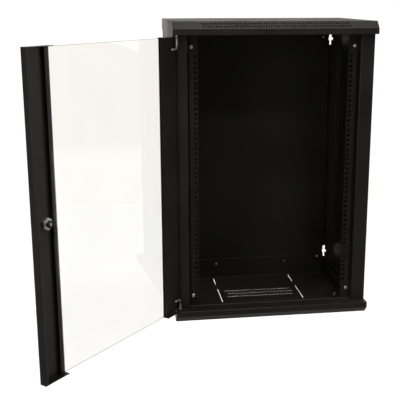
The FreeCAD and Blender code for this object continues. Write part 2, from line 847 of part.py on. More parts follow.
def make_rear_screws():
    middle = (size("rear_screw_across") / 2, size("rear_screw_rise"))
    corner = (size("corner_screw_x"), size("corner_screw_rise"))
    length = size("cover_sheet") + size("panel_sheet")
    solids = []
    for half, rise in (middle, corner):
        for x in (-half, half):
            for z in (rise, size("cabinet_height") - rise):
                place = FreeCAD.Vector(x, size("flange_layer"), z)
                head = prism(place, -BACKWARDS, UP, size("rear_screw_head"), size("rear_screw_head_height"))
                shank = prism(place, BACKWARDS, UP, size("rear_screw_shank"), length)
                solids.append(head.fuse(shank))
    make_group("rear_panel_screws", solids)


# Earth stud: a plain post with a six-sided nut, standing on the floor
def make_earth_stud():
    piece = Piece("earth_stud")
    post = polygon("stud_x", "stud_y", "stud_diameter", ROUND_SIDES)
    nut = polygon("stud_x", "stud_y", "stud_nut")
    piece.add("XY_Plane", [post], "cover_sheet", "cover_sheet + stud_height")
    piece.add("XY_Plane", [nut], "cover_sheet", "cover_sheet + stud_nut_height")


# Lock stile: an open channel with end plates, a side wall and a lip along the free edge
def make_lock_stile():
    piece = Piece("lock_stile", on_door=True)
    outline = rectangle("lock_stile_edge", "free_edge", "door_outer", "door_inner")
    hollow = rectangle(
        "lock_stile_edge - overrun", "free_edge - door_sheet", "wall_inner", "door_inner + overrun"
    )
    lip = rectangle(
        "free_edge - stile_lip", "free_edge - door_fold_radius", "door_inner - door_sheet", "door_inner"
    )
    block = piece.add("XY_Plane", [outline], "door_bottom", "door_top")
    piece.soften(block, (1, 2), "door_fold_radius")
    piece.cut("XY_Plane", [hollow], "stile_floor", "stile_ceiling")
    piece.add("XY_Plane", [lip], "door_bottom", "door_top")
    hole = ("lock_x", "lock_height", "barrel_radius + barrel_clearance")
    piece.cut("XZ_Plane", [hole], "door_outer - overrun", "wall_inner + overrun")


# Hinge stile: the same channel, with its outer corner left open for the pins
def make_hinge_stile():
    piece = Piece("hinge_stile", on_door=True)
    outline = rectangle("hinge_edge", "hinge_stile_edge", "door_outer", "door_inner")
    hollow = rectangle("hinge_box_edge", "hinge_stile_edge + overrun", "wall_inner", "door_inner + overrun")
    corner = rectangle("hinge_edge + door_sheet", "hinge_box_edge", "wall_inner", "door_inner + overrun")
    edge = rectangle(
        "hinge_edge - overrun", "hinge_box_edge", "door_outer + hinge_lip", "door_inner + overrun"
    )
    above = ("door_bottom - overrun", "door_top + overrun")
    block = piece.add("XY_Plane", [outline], "door_bottom", "door_top")
    piece.soften(block, (0,), "door_fold_radius")
    piece.cut("XY_Plane", [hollow], "stile_floor", "stile_ceiling")
    piece.cut("XY_Plane", [corner], *above)
    piece.cut("XY_Plane", [edge], *above)


def make_glass():
    piece = Piece("door_glass", on_door=True)
    pane = rectangle(
        "glass_left", "glass_right", "stile_floor + glass_end_gap", "stile_ceiling - glass_end_gap"
    )
    piece.add("XZ_Plane", [pane], "glass_front", "glass_back")


# Seals: channels that hold the upright edges of the glass
def make_seal(label, edge, slot_left, slot_right):
    piece = Piece(label, on_door=True)
    outline = rectangle(edge, edge + " + seal_width", "wall_inner", "seal_back")
    slot = rectangle(slot_left, slot_right, "glass_front", "glass_back")
    piece.add("XY_Plane", [outline], "stile_floor", "stile_ceiling")
    piece.cut("XY_Plane", [slot], "stile_floor - overrun", "stile_ceiling + overrun")


# Pin guides: two ears on a web, inside the open corner of the hinge stile
def make_pin_guide(end):
    piece = Piece(end + "_pin_guide", on_door=True)
    half = "guide_width / 2"
    web = rectangle(negated(half), half, *from_end(end, "0", "guide_height"))
    ear = rectangle(negated(half), half, "wall_inner", "guide_reach")
    piece.add("XZ_Plane", [web], "wall_inner", "wall_inner + guide_sheet")
    piece.add("XY_Plane", [ear], *from_end(end, "0", "guide_sheet"))
    piece.add("XY_Plane", [ear], *from_end(end, "guide_height - guide_sheet", "guide_height"))
    through = from_end(end, "-overrun", "guide_height + overrun")
    piece.cut("XY_Plane", [("0", "0", "pin_bore")], *through)


# Hinge pins: a round bar with a straight shank, a bend and a finger handle
def make_hinge_pin(end):
    piece = Piece(end + "_hinge_pin", on_door=True)

    def level(distance):
        return from_end(end, distance, distance)[0]

    half_run = 90 / BEND_RUNS / 2
    places = [("0", level("-pin_out"))]
    for run in range(BEND_RUNS):
        angle = half_run * (2 * run + 1)
        out = "pin_bend * (1 - cos(%g deg) / cos(%g deg))" % (angle, half_run)
        down = "pin_straight + pin_bend * sin(%g deg) / cos(%g deg)" % (angle, half_run)
        places.append((out, level(down)))
    places.append(("pin_handle", level("pin_straight + pin_bend")))
    bar = piece.body.newObject("PartDesign::AdditivePipe", "Bar")
    bar.Profile = piece.sketch("XY_Plane", [("0", "0", "pin_radius")], level("-pin_out"))
    bar.Spine = (piece.draw_path("XZ_Plane", places), [])
    bar.Transition = "Right corner"
    doc.recompute()


# Spring clips: square plates that grip the pins, and that the springs push against
def make_pin_clip(end):
    piece = Piece(end + "_pin_clip", on_door=True)
    plate = box_round("0", "0", "clip_width", "clip_width")
    grip = polygon("0", "0", "pin_diameter")
    piece.add("XY_Plane", [plate, grip], *from_end(end, "clip_start", "clip_start + clip_sheet"))


# Pin springs: square wire wound round the pin between the inner ear and the clip, in short straight runs
def make_pin_spring(end):
    label = end + "_pin_spring"
    half = size("spring_wire") / 2
    radius = size("spring_diameter") / 2 - half
    length = size("spring_end") - size("spring_start") - 2 * half
    steps = round(size("spring_turns") * size("spring_facets"))
    outline = [(-half, -half), (half, -half), (half, half), (-half, half)]
    sections = []
    for step in range(steps + 1):
        turn = FreeCAD.Rotation(UP, 360 * step / size("spring_facets"))
        rise = length * step / steps
        sections.append([turn.multVec(FreeCAD.Vector(radius + x, 0, rise + z)) for x, z in outline])
    faces = [flat_face(sections[0]), flat_face(sections[-1])]
    for this, after in zip(sections, sections[1:]):
        for corner in range(4):
            beside = (corner + 1) % 4
            faces.append(flat_face([this[corner], this[beside], after[beside]]))
            faces.append(flat_face([this[corner], after[beside], after[corner]]))
    spring = doc.addObject("Part::Feature", label)
    spring.Label = label
    spring.Shape = Part.makeSolid(Part.makeShell(faces))
    hang_on_hinge(spring)
    low = from_end(end, "spring_start", "spring_end")[0]
    bind(spring, Placement__Base__z=low + " + spring_wire / 2")
    Piece.made.append(spring)


# Lock housing: bezel outside the door, barrel through it
def make_lock_housing():
    piece = Piece("lock_housing", on_door=True)
    piece.add("XZ_Plane", [("lock_x", "lock_height", "bezel_diameter / 2")], "bezel_front", "door_outer")
    piece.add("XZ_Plane", [("lock_x", "lock_height", "barrel_radius")], "door_outer", "barrel_end")
    bore = ("lock_x", "lock_height", "plug_radius + plug_clearance")
    piece.cut("XZ_Plane", [bore], "bezel_front - overrun", "barrel_end + overrun")


def make_lock_nut():
    piece = Piece("lock_nut", on_door=True)
    ring = [
        polygon("lock_x", "lock_height", "lock_nut_width"),
        polygon("lock_x", "lock_height", "(barrel_diameter + 2 * barrel_clearance)", ROUND_SIDES),
    ]
    piece.add("XZ_Plane", ring, "wall_inner", "wall_inner + lock_nut_height")


# Key plug: turns in the housing and carries the cam on its inner end
def make_lock_plug():
    piece = Piece("lock_plug", on_door=True)
    piece.add("XZ_Plane", [("lock_x", "lock_height", "plug_radius")], "bezel_front", "hub_front")
    key = rectangle(
        "lock_x - key_slot_width / 2",
        "lock_x + key_slot_width / 2",
        "lock_height - key_slot_height / 2",
        "lock_height + key_slot_height / 2",
    )
    piece.cut("XZ_Plane", [key], "bezel_front - overrun", "bezel_front + key_slot_depth")
    hole = screw_hole("lock_x", "lock_height", "cam_screw_shank")
    piece.cut("XZ_Plane", [hole], "hub_front - cam_screw_depth", "hub_front + overrun")


# Cam: a hub on the plug, cranked back to a tongue that reaches behind the post and points
# down when the lock is open
def make_lock_cam():
    piece = Piece("lock_cam", on_door=True)
    sides = ("lock_x - cam_width / 2", "lock_x + cam_width / 2")
    bend = ("lock_height - cam_crank", "lock_height - cam_crank + cam_sheet")
    hub = polygon("lock_x", "lock_height", "cam_hub", ROUND_SIDES)
    web = rectangle(*sides, *bend)
    tongue = rectangle(*sides, "lock_height - cam_length", bend[1])
    piece.add("XZ_Plane", [hub], "hub_front", "hub_back")
    piece.add("XZ_Plane", [web], "hub_front", "cam_back")
    piece.add("XZ_Plane", [tongue], "cam_front", "cam_back")
    hole = screw_hole("lock_x", "lock_height", "cam_screw_shank")
    piece.cut("XZ_Plane", [hole], "hub_front - overrun", "hub_back + overrun")


# Screw that holds the cam on the plug
def make_cam_screw():
    piece = Piece("cam_screw", on_door=True)
    head = polygon("lock_x", "lock_height", "cam_screw_head")
    shank = polygon("lock_x", "lock_height", "cam_screw_shank")
    piece.add("XZ_Plane", [head], "hub_back", "hub_back + cam_screw_head_height")
    piece.add("XZ_Plane", [shank], "hub_front - cam_screw_depth", "hub_back")


def check_everything():
    """Stop if any object failed, any cut removed nothing, or any sub-part isn't a valid solid."""
    for thing in doc.Objects:
        if "Invalid" in thing.State or "Error" in thing.State:
            raise RuntimeError("%s failed: %s" % (thing.Label, thing.State))
        if thing.TypeId == "PartDesign::Pocket":
            removed = thing.BaseFeature.Shape.Volume - thing.Shape.Volume
            if removed <= 0:
                raise RuntimeError("%s cuts nothing" % thing.Label)
    for piece in Piece.made:
        shape = piece.Shape
        if shape.isNull() or not shape.isValid() or not shape.Solids:
            raise RuntimeError("%s has no valid solid" % piece.Label)


cut_fascia_vents(make_fascia("upper", "top_fascia"))
make_fascia("lower", "bottom_fascia")
make_cover("upper", "top_cover")
make_cover("lower", "bottom_cover")
make_entry_panel("upper", "top_entry_panel")
cut_entry_vents(make_entry_panel("lower", "bottom_entry_panel"), "lower")
make_rear_panel()
for side_name in SIDES:
    make_side_panel(side_name)
    make_front_post(side_name)
    make_rear_post(side_name)
    make_rack_rail(side_name)
    for end_name in ("lower", "upper"):
        make_depth_bar(side_name, end_name)
        make_rail_bracket(side_name, end_name)
make_rail_screws()
make_bracket_bolts()
make_rear_screws()
make_earth_stud()
make_lock_stile()
make_hinge_stile()
make_glass()
make_seal("lock_side_seal", "lock_seal_edge", "lock_seal_edge - overrun", "glass_right")
make_seal("hinge_side_seal", "hinge_seal_edge", "glass_left", "hinge_stile_edge + overrun")
for end_name in ("upper", "lower"):
    make_pin_guide(end_name)
    make_hinge_pin(end_name)
    make_pin_clip(end_name)
    make_pin_spring(end_name)
make_lock_housing()
make_lock_nut()
make_lock_plug()
make_lock_cam()
make_cam_screw()

doc.recompute()
check_everything()
os.makedirs("parts", exist_ok=True)
for made_piece in Piece.made:
    made_piece.Shape.exportStep("parts/%s.step" % made_piece.Label)
    print(made_piece.Label, round(made_piece.Shape.Volume), len(made_piece.Shape.Solids))
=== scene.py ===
"""Looks, studio light and camera for a wall-mount rack cabinet with a glass door.

Sizes are in metres and angles in radians.
"""

import json
import logging
import math
from dataclasses import dataclass
from enum import Enum
from typing import Callable, Iterable, Optional, Sequence, Union

import bmesh
import bpy
from mathutils import Matrix, Vector


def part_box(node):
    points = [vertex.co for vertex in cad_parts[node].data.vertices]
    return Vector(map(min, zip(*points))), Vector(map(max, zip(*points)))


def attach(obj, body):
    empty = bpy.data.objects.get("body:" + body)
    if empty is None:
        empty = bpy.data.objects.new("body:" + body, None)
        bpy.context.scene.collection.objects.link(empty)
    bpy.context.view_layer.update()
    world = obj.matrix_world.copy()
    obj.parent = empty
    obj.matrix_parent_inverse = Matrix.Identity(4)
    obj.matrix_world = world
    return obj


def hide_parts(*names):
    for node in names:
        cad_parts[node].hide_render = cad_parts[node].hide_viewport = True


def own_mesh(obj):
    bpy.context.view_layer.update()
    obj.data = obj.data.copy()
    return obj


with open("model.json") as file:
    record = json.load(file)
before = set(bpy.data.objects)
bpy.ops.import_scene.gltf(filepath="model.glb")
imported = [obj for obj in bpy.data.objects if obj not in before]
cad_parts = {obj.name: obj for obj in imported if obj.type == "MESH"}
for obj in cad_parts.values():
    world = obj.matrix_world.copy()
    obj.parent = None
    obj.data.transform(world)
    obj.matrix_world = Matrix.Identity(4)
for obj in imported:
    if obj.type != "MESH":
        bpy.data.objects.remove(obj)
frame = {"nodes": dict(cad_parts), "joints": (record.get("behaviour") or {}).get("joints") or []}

LOG = logging.getLogger("rack_cabinet")
WHITE = (1.0, 1.0, 1.0)
WARM = (1.0, 0.96, 0.86)

# Edges of a new mesh that turn by more than this are shaded sharp.
SHARP_ANGLE = math.radians(32)

# Rounds along the cut edges of a sheet-metal node.
CORNER_WELD = 1e-6
FLAT_ANGLE = math.radians(0.5)
CUT_EDGE_ANGLE = math.radians(40)
CUT_EDGE_SEGMENTS = 2

# Depth of a screw thread, as a share of its pitch.
THREAD_DEPTH = 0.55

# Colour sockets of a Mix node: the two that it mixes, and the result.
MIX_FIRST, MIX_SECOND, MIX_RESULT = 6, 7, 2

# How alike the rounded and the flat normals are at an edge, and away from it.
AT_EDGE, OFF_EDGE = 0.72, 0.99
ROUND_SAMPLES = 4

NEARLY_ZERO = 1e-6

Colour = tuple[float, float, float, float]
Span = tuple[float, float]
Profile = Sequence[tuple[float, float]]
Ring = list[Vector]
Socket = bpy.types.NodeSocket
Material = bpy.types.Material
Piece = bpy.types.Object
Mesh = bmesh.types.BMesh


class Body(Enum):
    """Rigid bodies of the cabinet, by the names that the joints use."""

    CABINET = "cabinet"
    DOOR = "door"
    UPPER_PIN = "upper_pin"
    LOWER_PIN = "lower_pin"
    CAM = "cam"


class End(Enum):
    """The upper and lower ends of the door and of the rack frame."""

    UPPER = "upper"
    LOWER = "lower"


class Side(Enum):
    """The two sides of the rack frame, seen from the front."""

    LEFT = "left"
    RIGHT = "right"


class Slot(Enum):
    """Material slots that the pieces take their finish from."""

    CABINET_COAT = "cabinet_coat"
    RAIL_COAT = "rail_coat"
    DOOR_COAT = "door_coat"
    ZINC = "zinc"
    SPRING_STEEL = "spring_steel"
    LOCK_METAL = "lock_metal"
    EARTH_METAL = "earth_metal"
    SEAL = "seal"
    GLASS = "glass"


class Graph:
    """Node tree of one material, with short calls for the nodes that a finish needs."""

    def __init__(self, name: str) -> None:
        """Start a tree with one shader and the piece's own coordinates.

        Args:
            name: Name of the material.
        """
        self.material = bpy.data.materials.new(name)
        self.material.use_nodes = True
        self.nodes = self.material.node_tree.nodes
        self.links = self.material.node_tree.links
        self.nodes.clear()
        output = self.nodes.new("ShaderNodeOutputMaterial")
        self.shader = self.nodes.new("ShaderNodeBsdfPrincipled")
        self.links.new(self.shader.outputs["BSDF"], output.inputs["Surface"])
        self.place = self.nodes.new("ShaderNodeTexCoord").outputs["Object"]

    def constant(self, socket: str, value: float) -> None:
        """Set one of the shader's own sockets."""
        self.shader.inputs[socket].default_value = value

    def drive(self, socket: str, source: Socket) -> None:
        """Let a node's output drive one of the shader's sockets."""
        self.links.new(source, self.shader.inputs[socket])

    def noise(self, scale: float, detail: float = 4.0, stretch: Sequence[float] = (1, 1, 1)) -> Socket:
        """Add a noise field.

        Args:
            scale: Waves to the metre.
            detail: Octaves of finer noise on top.
            stretch: Factors on the scale along X, Y and Z.

        Returns:
            The noise value, mostly between 0.3 and 0.7.
        """
        mapping = self.nodes.new("ShaderNodeMapping")
        mapping.inputs["Scale"].default_value = stretch
        self.links.new(self.place, mapping.inputs["Vector"])
        node = self.nodes.new("ShaderNodeTexNoise")
        node.inputs["Scale"].default_value = scale
        node.inputs["Detail"].default_value = detail
        self.links.new(mapping.outputs["Vector"], node.inputs["Vector"])
        return node.outputs["Fac"]

    def spread(
        self, source: Socket, low: float, high: float, start: float = 0.35, stop: float = 0.65
    ) -> Socket:
        """Stretch a value from one range to another.

        Args:
            source: Value to stretch.
            low: Result at the start of the source range.
            high: Result at its end.
            start: Start of the source range.
            stop: End of the source range.

        Returns:
            The stretched value, kept inside its range.
        """
        node = self.nodes.new("ShaderNodeMapRange")
        node.inputs["From Min"].default_value = start
        node.inputs["From Max"].default_value = stop
        node.inputs["To Min"].default_value = low
        node.inputs["To Max"].default_value = high
        self.links.new(source, node.inputs["Value"])
        return node.outputs["Result"]

    def product(self, first: Socket, second: Socket) -> Socket:
        """Multiply two values.

        Args:
            first: One value.
            second: The other value.

        Returns:
            Their product.
        """
        node = self.nodes.new("ShaderNodeMath")
        node.operation = "MULTIPLY"
        self.links.new(first, node.inputs[0])
        self.links.new(second, node.inputs[1])
        return node.outputs["Value"]

    def tint(self, share: Socket, first: Union[Colour, Socket], second: Union[Colour, Socket]) -> Socket:
        """Mix two colours.

        Args:
            share: How much of the second colour shows.
            first: Colour or socket that shows at 0.
            second: Colour or socket that shows at 1.

        Returns:
            The mixed colour.
        """
        node = self.nodes.new("ShaderNodeMix")
        node.data_type = "RGBA"
        self.links.new(share, node.inputs["Factor"])
        for index, colour in ((MIX_FIRST, first), (MIX_SECOND, second)):
            if isinstance(colour, Socket):
                self.links.new(colour, node.inputs[index])
            else:
                node.inputs[index].default_value = colour
        return node.outputs[MIX_RESULT]

    def mottle(self, patches: Socket, first: Colour, second: Colour) -> Socket:
        """Mix two colours in the patches of a noise field."""
        return self.tint(self.spread(patches, 0.0, 1.0), first, second)

    def facing_up(self) -> Socket:
        """How far a surface faces upwards, for dust that settles on it.

        Returns:
            A value from -1 on an underside to 1 on a top.
        """
        geometry = self.nodes.new("ShaderNodeNewGeometry")
        split = self.nodes.new("ShaderNodeSeparateXYZ")
        self.links.new(geometry.outputs["Normal"], split.inputs["Vector"])
        return split.outputs["Z"]

    def rounded(self, radius: float) -> Socket:
        """Normals that go softly round sharp sheet edges.

        Args:
            radius: Reach of the rounding.

        Returns:
            The rounded normals.
        """
        node = self.nodes.new("ShaderNodeBevel")
        node.samples = ROUND_SAMPLES
        node.inputs["Radius"].default_value = radius
        return node.outputs["Normal"]

    def edge_share(self, rounded: Socket) -> Socket:
        """How near a point is to a sharp edge.

        Args:
            rounded: Normals that go softly round the edges.

        Returns:
            A value that grows from 0 on the flat to 1 at an edge.
        """
        geometry = self.nodes.new("ShaderNodeNewGeometry")
        likeness = self.nodes.new("ShaderNodeVectorMath")
        likeness.operation = "DOT_PRODUCT"
        self.links.new(rounded, likeness.inputs[0])
        self.links.new(geometry.outputs["Normal"], likeness.inputs[1])
        return self.spread(likeness.outputs["Value"], 1.0, 0.0, AT_EDGE, OFF_EDGE)

    def bump(
        self, height: Socket, distance: float, strength: float, normal: Optional[Socket] = None
    ) -> Socket:
        """Turn a height into surface relief.

        Args:
            height: Height field.
            distance: Depth of the relief.
            strength: Share of the relief that shows.
            normal: Normals that the relief is added to.

        Returns:
            The relief's normals.
        """
        node = self.nodes.new("ShaderNodeBump")
        node.inputs["Distance"].default_value = distance
        node.inputs["Strength"].default_value = strength
        self.links.new(height, node.inputs["Height"])
        if normal is not None:
            self.links.new(normal, node.inputs["Normal"])
        return node.outputs["Normal"]


@dataclass(frozen=True)
class PowderCoat:
    """Fine-textured black powder coat on sheet steel."""

    name: str
    colour: Colour = (0.0055, 0.0055, 0.0052, 1.0)
    thin_colour: Colour = (0.009, 0.009, 0.0085, 1.0)
    # Paler colour along sharp edges: partly real wear of the coat, partly a painted highlight where the
    # edges would catch light.
    edge_wear_highlight_colour: Colour = (0.05, 0.05, 0.048, 1.0)
    dust_colour: Colour = (0.06, 0.056, 0.05, 1.0)
    dust: float = 0.14
    dust_slope: Span = (0.5, 1.0)
    dust_patches: Span = (0.25, 1.0)
    edge_wear_highlight_span: Span = (0.35, 0.9)
    smooth: float = 0.42
    coarse: float = 0.56
    peel_sheen: Span = (0.92, 1.08)
    specular: float = 0.5
    grain: float = 1400.0
    grains_to_peel: float = 6.0
    cloud_scale: float = 6.0
    dust_scale: float = 22.0
    peel_depth: float = 0.00012
    peel_strength: float = 0.25
    grain_depth: float = 0.00005
    grain_strength: float = 0.35
    edge_radius: float = 0.0007

    def build(self) -> Material:
        """Make the material: grain, cloudy sheen, paler edges that are partly wear and partly a painted
        highlight, and a little settled dust.

        Returns:
            The new material.
        """
        graph = Graph(self.name)
        grain = graph.noise(self.grain, detail=3.0)
        peel = graph.noise(self.grain / self.grains_to_peel, detail=2.0)
        cloud = graph.noise(self.cloud_scale, detail=6.0)
        rounded = graph.rounded(self.edge_radius)
        # Sharp edges are tinted paler in cloudy patches: partly wear, partly a painted highlight on the
        # edges.
        worn_highlit_edges = graph.product(graph.edge_share(rounded), graph.spread(cloud, *self.edge_wear_highlight_span))
        settled = graph.spread(graph.facing_up(), 0.0, self.dust, *self.dust_slope)
        patches = graph.spread(graph.noise(self.dust_scale, detail=7.0), *self.dust_patches)
        dusty = graph.product(settled, patches)
        colour = graph.mottle(cloud, self.colour, self.thin_colour)
        colour = graph.tint(dusty, colour, self.dust_colour)
        graph.drive("Base Color", graph.tint(worn_highlit_edges, colour, self.edge_wear_highlight_colour))
        sheen = graph.spread(cloud, self.smooth, self.coarse)
        graph.drive("Roughness", graph.product(sheen, graph.spread(peel, *self.peel_sheen)))
        relief = graph.bump(peel, self.peel_depth, self.peel_strength, rounded)
        graph.drive("Normal", graph.bump(grain, self.grain_depth, self.grain_strength, relief))
        graph.constant("Specular IOR Level", self.specular)
        return graph.material


@dataclass(frozen=True)
class PlatedMetal:
    """Plated steel or turned metal with fine rubbing marks."""

    name: str
    colour: Colour
    dull_colour: Colour
    smooth: float
    coarse: float
    cloud_scale: float = 120.0
    mark_scale: float = 900.0
    mark_stretch: Sequence[float] = (1.0, 1.0, 0.12)
    mark_sheen: Span = (0.8, 1.25)
    mark_depth: float = 0.00003
    mark_strength: float = 0.2
    edge_radius: float = 0.0003

    def build(self) -> Material:
        """Make the material: cloudy plating with marks that run one way.

        Returns:
            The new material.
        """
        graph = Graph(self.name)
        cloud = graph.noise(self.cloud_scale, detail=5.0)
        marks = graph.noise(self.mark_scale, detail=4.0, stretch=self.mark_stretch)
        graph.drive("Base Color", graph.mottle(cloud, self.colour, self.dull_colour))
        graph.constant("Metallic", 1.0)
        sheen = graph.spread(cloud, self.smooth, self.coarse)
        graph.drive("Roughness", graph.product(sheen, graph.spread(marks, *self.mark_sheen)))
        rounded = graph.rounded(self.edge_radius)
        graph.drive("Normal", graph.bump(marks, self.mark_depth, self.mark_strength, rounded))
        return graph.material


@dataclass(frozen=True)
class SealRubber:
    """Matt black rubber of the glass channels."""

    name: str
    colour: Colour = (0.0018, 0.0018, 0.0018, 1.0)
    bloom_colour: Colour = (0.005, 0.005, 0.0048, 1.0)
    bloom_scale: float = 35.0
    roughness: Span = (0.34, 0.48)
    specular: float = 0.5
    line_scale: float = 700.0
    line_stretch: Sequence[float] = (1.0, 1.0, 0.03)
    line_depth: float = 0.00008
    line_strength: float = 0.3
    edge_radius: float = 0.0005

    def build(self) -> Material:
        """Make the material: matt rubber with a faint bloom and drawn-out lines.

        Returns:
            The new material.
        """
        graph = Graph(self.name)
        lines = graph.noise(self.line_scale, detail=3.0, stretch=self.line_stretch)
        bloom = graph.noise(self.bloom_scale, detail=6.0)
        graph.drive("Base Color", graph.mottle(bloom, self.colour, self.bloom_colour))
        graph.drive("Roughness", graph.spread(bloom, *self.roughness))
        rounded = graph.rounded(self.edge_radius)
        graph.drive("Normal", graph.bump(lines, self.line_depth, self.line_strength, rounded))
        graph.constant("Specular IOR Level", self.specular)
        return graph.material


@dataclass(frozen=True)
class ToughenedGlass:
    """Clear flat glass of the door."""

    name: str
    colour: Colour = (0.945, 0.945, 0.945, 1.0)
    smear_colour: Colour = (0.925, 0.925, 0.925, 1.0)
    smear_scale: float = 9.0
    smear_stretch: Sequence[float] = (1.0, 1.0, 0.4)
    smear_span: Span = (0.5, 0.8)
    smear_roughness: float = 0.02
    wave_scale: float = 14.0
    wave_stretch: Sequence[float] = (1.0, 1.0, 0.15)
    wave_depth: float = 0.00002
    wave_strength: float = 0.1
    refraction: float = 1.5

    def build(self) -> Material:
        """Make the material: clear glass with faint smears and roller waves.

        Returns:
            The new material.
        """
        graph = Graph(self.name)
        smear = graph.noise(self.smear_scale, detail=7.0, stretch=self.smear_stretch)
        waves = graph.noise(self.wave_scale, detail=1.0, stretch=self.wave_stretch)
        share = graph.spread(smear, 0.0, 1.0, *self.smear_span)
        graph.drive("Base Color", graph.tint(share, self.colour, self.smear_colour))
        graph.drive("Roughness", graph.spread(smear, 0.0, self.smear_roughness, *self.smear_span))
        graph.drive("Normal", graph.bump(waves, self.wave_depth, self.wave_strength))
        graph.constant("IOR", self.refraction)
        graph.constant("Transmission Weight", 1.0)
        return graph.material


@dataclass(frozen=True)
class GroundGlass:
    """Ground edges of the glass pane, which look grey-green."""

    name: str
    colour: Colour = (0.14, 0.2, 0.18, 1.0)
    deep_colour: Colour = (0.06, 0.11, 0.095, 1.0)
    depth_scale: float = 18.0
    grind_scale: float = 800.0
    grind_stretch: Sequence[float] = (1.0, 1.0, 0.05)
    grind_depth: float = 0.00004
    grind_strength: float = 0.3
    roughness: Span = (0.25, 0.5)
    clearness: float = 0.25
    refraction: float = 1.5

    def build(self) -> Material:
        """Make the material: satin ground glass with grinding lines along the edge.

        Returns:
            The new material.
        """
        graph = Graph(self.name)
        grind = graph.noise(self.grind_scale, detail=3.0, stretch=self.grind_stretch)
        depth = graph.noise(self.depth_scale, detail=4.0)
        graph.drive("Base Color", graph.mottle(depth, self.colour, self.deep_colour))
        graph.drive("Roughness", graph.spread(grind, *self.roughness))
        graph.drive("Normal", graph.bump(grind, self.grind_depth, self.grind_strength))
        graph.constant("Transmission Weight", self.clearness)
        graph.constant("IOR", self.refraction)
        return graph.material


@dataclass(frozen=True)
class StudioPaper:
    """Pale matt paper of the studio floor."""

    name: str
    colour: Colour = (0.86, 0.86, 0.86, 1.0)
    shade_colour: Colour = (0.82, 0.82, 0.82, 1.0)
    tooth_scale: float = 160.0
    roughness: Span = (0.85, 0.95)
    specular: float = 0.1

    def build(self) -> Material:
        """Make the material: matt paper with a faint tooth.

        Returns:
            The new material.
        """
        graph = Graph(self.name)
        tooth = graph.noise(self.tooth_scale, detail=4.0)
        graph.drive("Base Color", graph.mottle(tooth, self.colour, self.shade_colour))
        graph.drive("Roughness", graph.spread(tooth, *self.roughness))
        graph.constant("Specular IOR Level", self.specular)
        return graph.material


class FinishShelf:
    """All finishes, each made once and handed out by material slot."""

    def __init__(self) -> None:
        """Make every finish."""
        zinc, dull_zinc = (0.74, 0.75, 0.77, 1.0), (0.56, 0.57, 0.59, 1.0)
        wire, dull_wire = (0.46, 0.46, 0.47, 1.0), (0.3, 0.3, 0.31, 1.0)
        chrome, dull_chrome = (0.8, 0.8, 0.8, 1.0), (0.68, 0.68, 0.69, 1.0)
        black_zinc, rubbed_zinc = (0.035, 0.034, 0.033, 1.0), (0.075, 0.073, 0.07, 1.0)
        # Extra-pale edge colour for the cabinet coat: partly wear, partly a painted highlight along its
        # folds and edges.
        pale_worn_highlit_edge = (0.095, 0.094, 0.09, 1.0)
        cabinet_coat = PowderCoat("cabinet_powder_coat", edge_wear_highlight_colour=pale_worn_highlit_edge, edge_radius=0.0016)
        rail_coat = PowderCoat("rail_powder_coat", smooth=0.45, coarse=0.6, dust=0.08, specular=0.38)
        door_coat = PowderCoat("door_powder_coat", smooth=0.4, coarse=0.52, dust=0.1)
        bright_zinc = PlatedMetal("bright_zinc", zinc, dull_zinc, smooth=0.34, coarse=0.48)
        spring_wire = PlatedMetal("spring_wire", wire, dull_wire, smooth=0.25, coarse=0.4)
        lock_plating = PlatedMetal("lock_plating", chrome, dull_chrome, smooth=0.1, coarse=0.2)
        earth_zinc = PlatedMetal("dull_zinc", dull_zinc, dull_wire, smooth=0.32, coarse=0.48)
        self.by_slot = {
            Slot.CABINET_COAT: cabinet_coat.build(),
            Slot.RAIL_COAT: rail_coat.build(),
            Slot.DOOR_COAT: door_coat.build(),
            Slot.ZINC: bright_zinc.build(),
            Slot.SPRING_STEEL: spring_wire.build(),
            Slot.LOCK_METAL: lock_plating.build(),
            Slot.EARTH_METAL: earth_zinc.build(),
            Slot.SEAL: SealRubber("seal_rubber").build(),
            Slot.GLASS: ToughenedGlass("clear_glass").build(),
        }
        self.glass_edge = GroundGlass("ground_glass_edge").build()
        self.black_zinc = PlatedMetal("black_zinc", black_zinc, rubbed_zinc, smooth=0.3, coarse=0.45).build()
        self.pin_zinc = PlatedMetal("pin_zinc", chrome, zinc, smooth=0.3, coarse=0.42).build()

    def of(self, slot: Slot) -> Material:
        """Finish of a material slot."""
        return self.by_slot[slot]


def ring(radius_at: Callable[[float], float], height: float, sides: int) -> Ring:
    """Points round an axis.

    Args:
        radius_at: Gives the radius at an angle.
        height: Place along the axis.
        sides: Number of points.

    Returns:
        The points, in order.
    """
    points = []
    for step in range(sides):
        angle = 2 * math.pi * step / sides
        radius = radius_at(angle)
        points.append(Vector((radius * math.cos(angle), radius * math.sin(angle), height)))
    return points


def round_ring(radius: float, height: float, sides: int) -> Ring:
    """Points of a circle round an axis."""
    return ring(lambda angle: radius, height, sides)


def hex_radius(across_flats: float) -> Callable[[float], float]:
    """Radius of a hexagon at an angle, with one corner on the second axis."""
    return lambda angle: across_flats / 2 / math.cos((angle + math.pi / 6) % (math.pi / 3) - math.pi / 6)


def cross_radius(reach: float, half_width: float) -> Callable[[float], float]:
    """Radius of a cross-shaped drive recess at an angle.

    Args:
        reach: Length of each arm.
        half_width: Half the width of each arm.

    Returns:
        A function that gives the radius.
    """

    def radius(angle: float) -> float:
        """Radius on an arm's end or its flank.

        Args:
            angle: Angle round the axis.

        Returns:
            The radius there.
        """
        from_arm = abs((angle + math.pi / 4) % (math.pi / 2) - math.pi / 4)
        flank = half_width / max(math.sin(from_arm), NEARLY_ZERO)
        return min(reach / math.cos(from_arm), flank)

    return radius


def slot_radius(half_width: float, half_height: float) -> Callable[[float], float]:
    """Radius of an upright rectangular slot at an angle."""
    return lambda angle: min(
        half_width / max(abs(math.cos(angle)), NEARLY_ZERO),
        half_height / max(abs(math.sin(angle)), NEARLY_ZERO),
    )


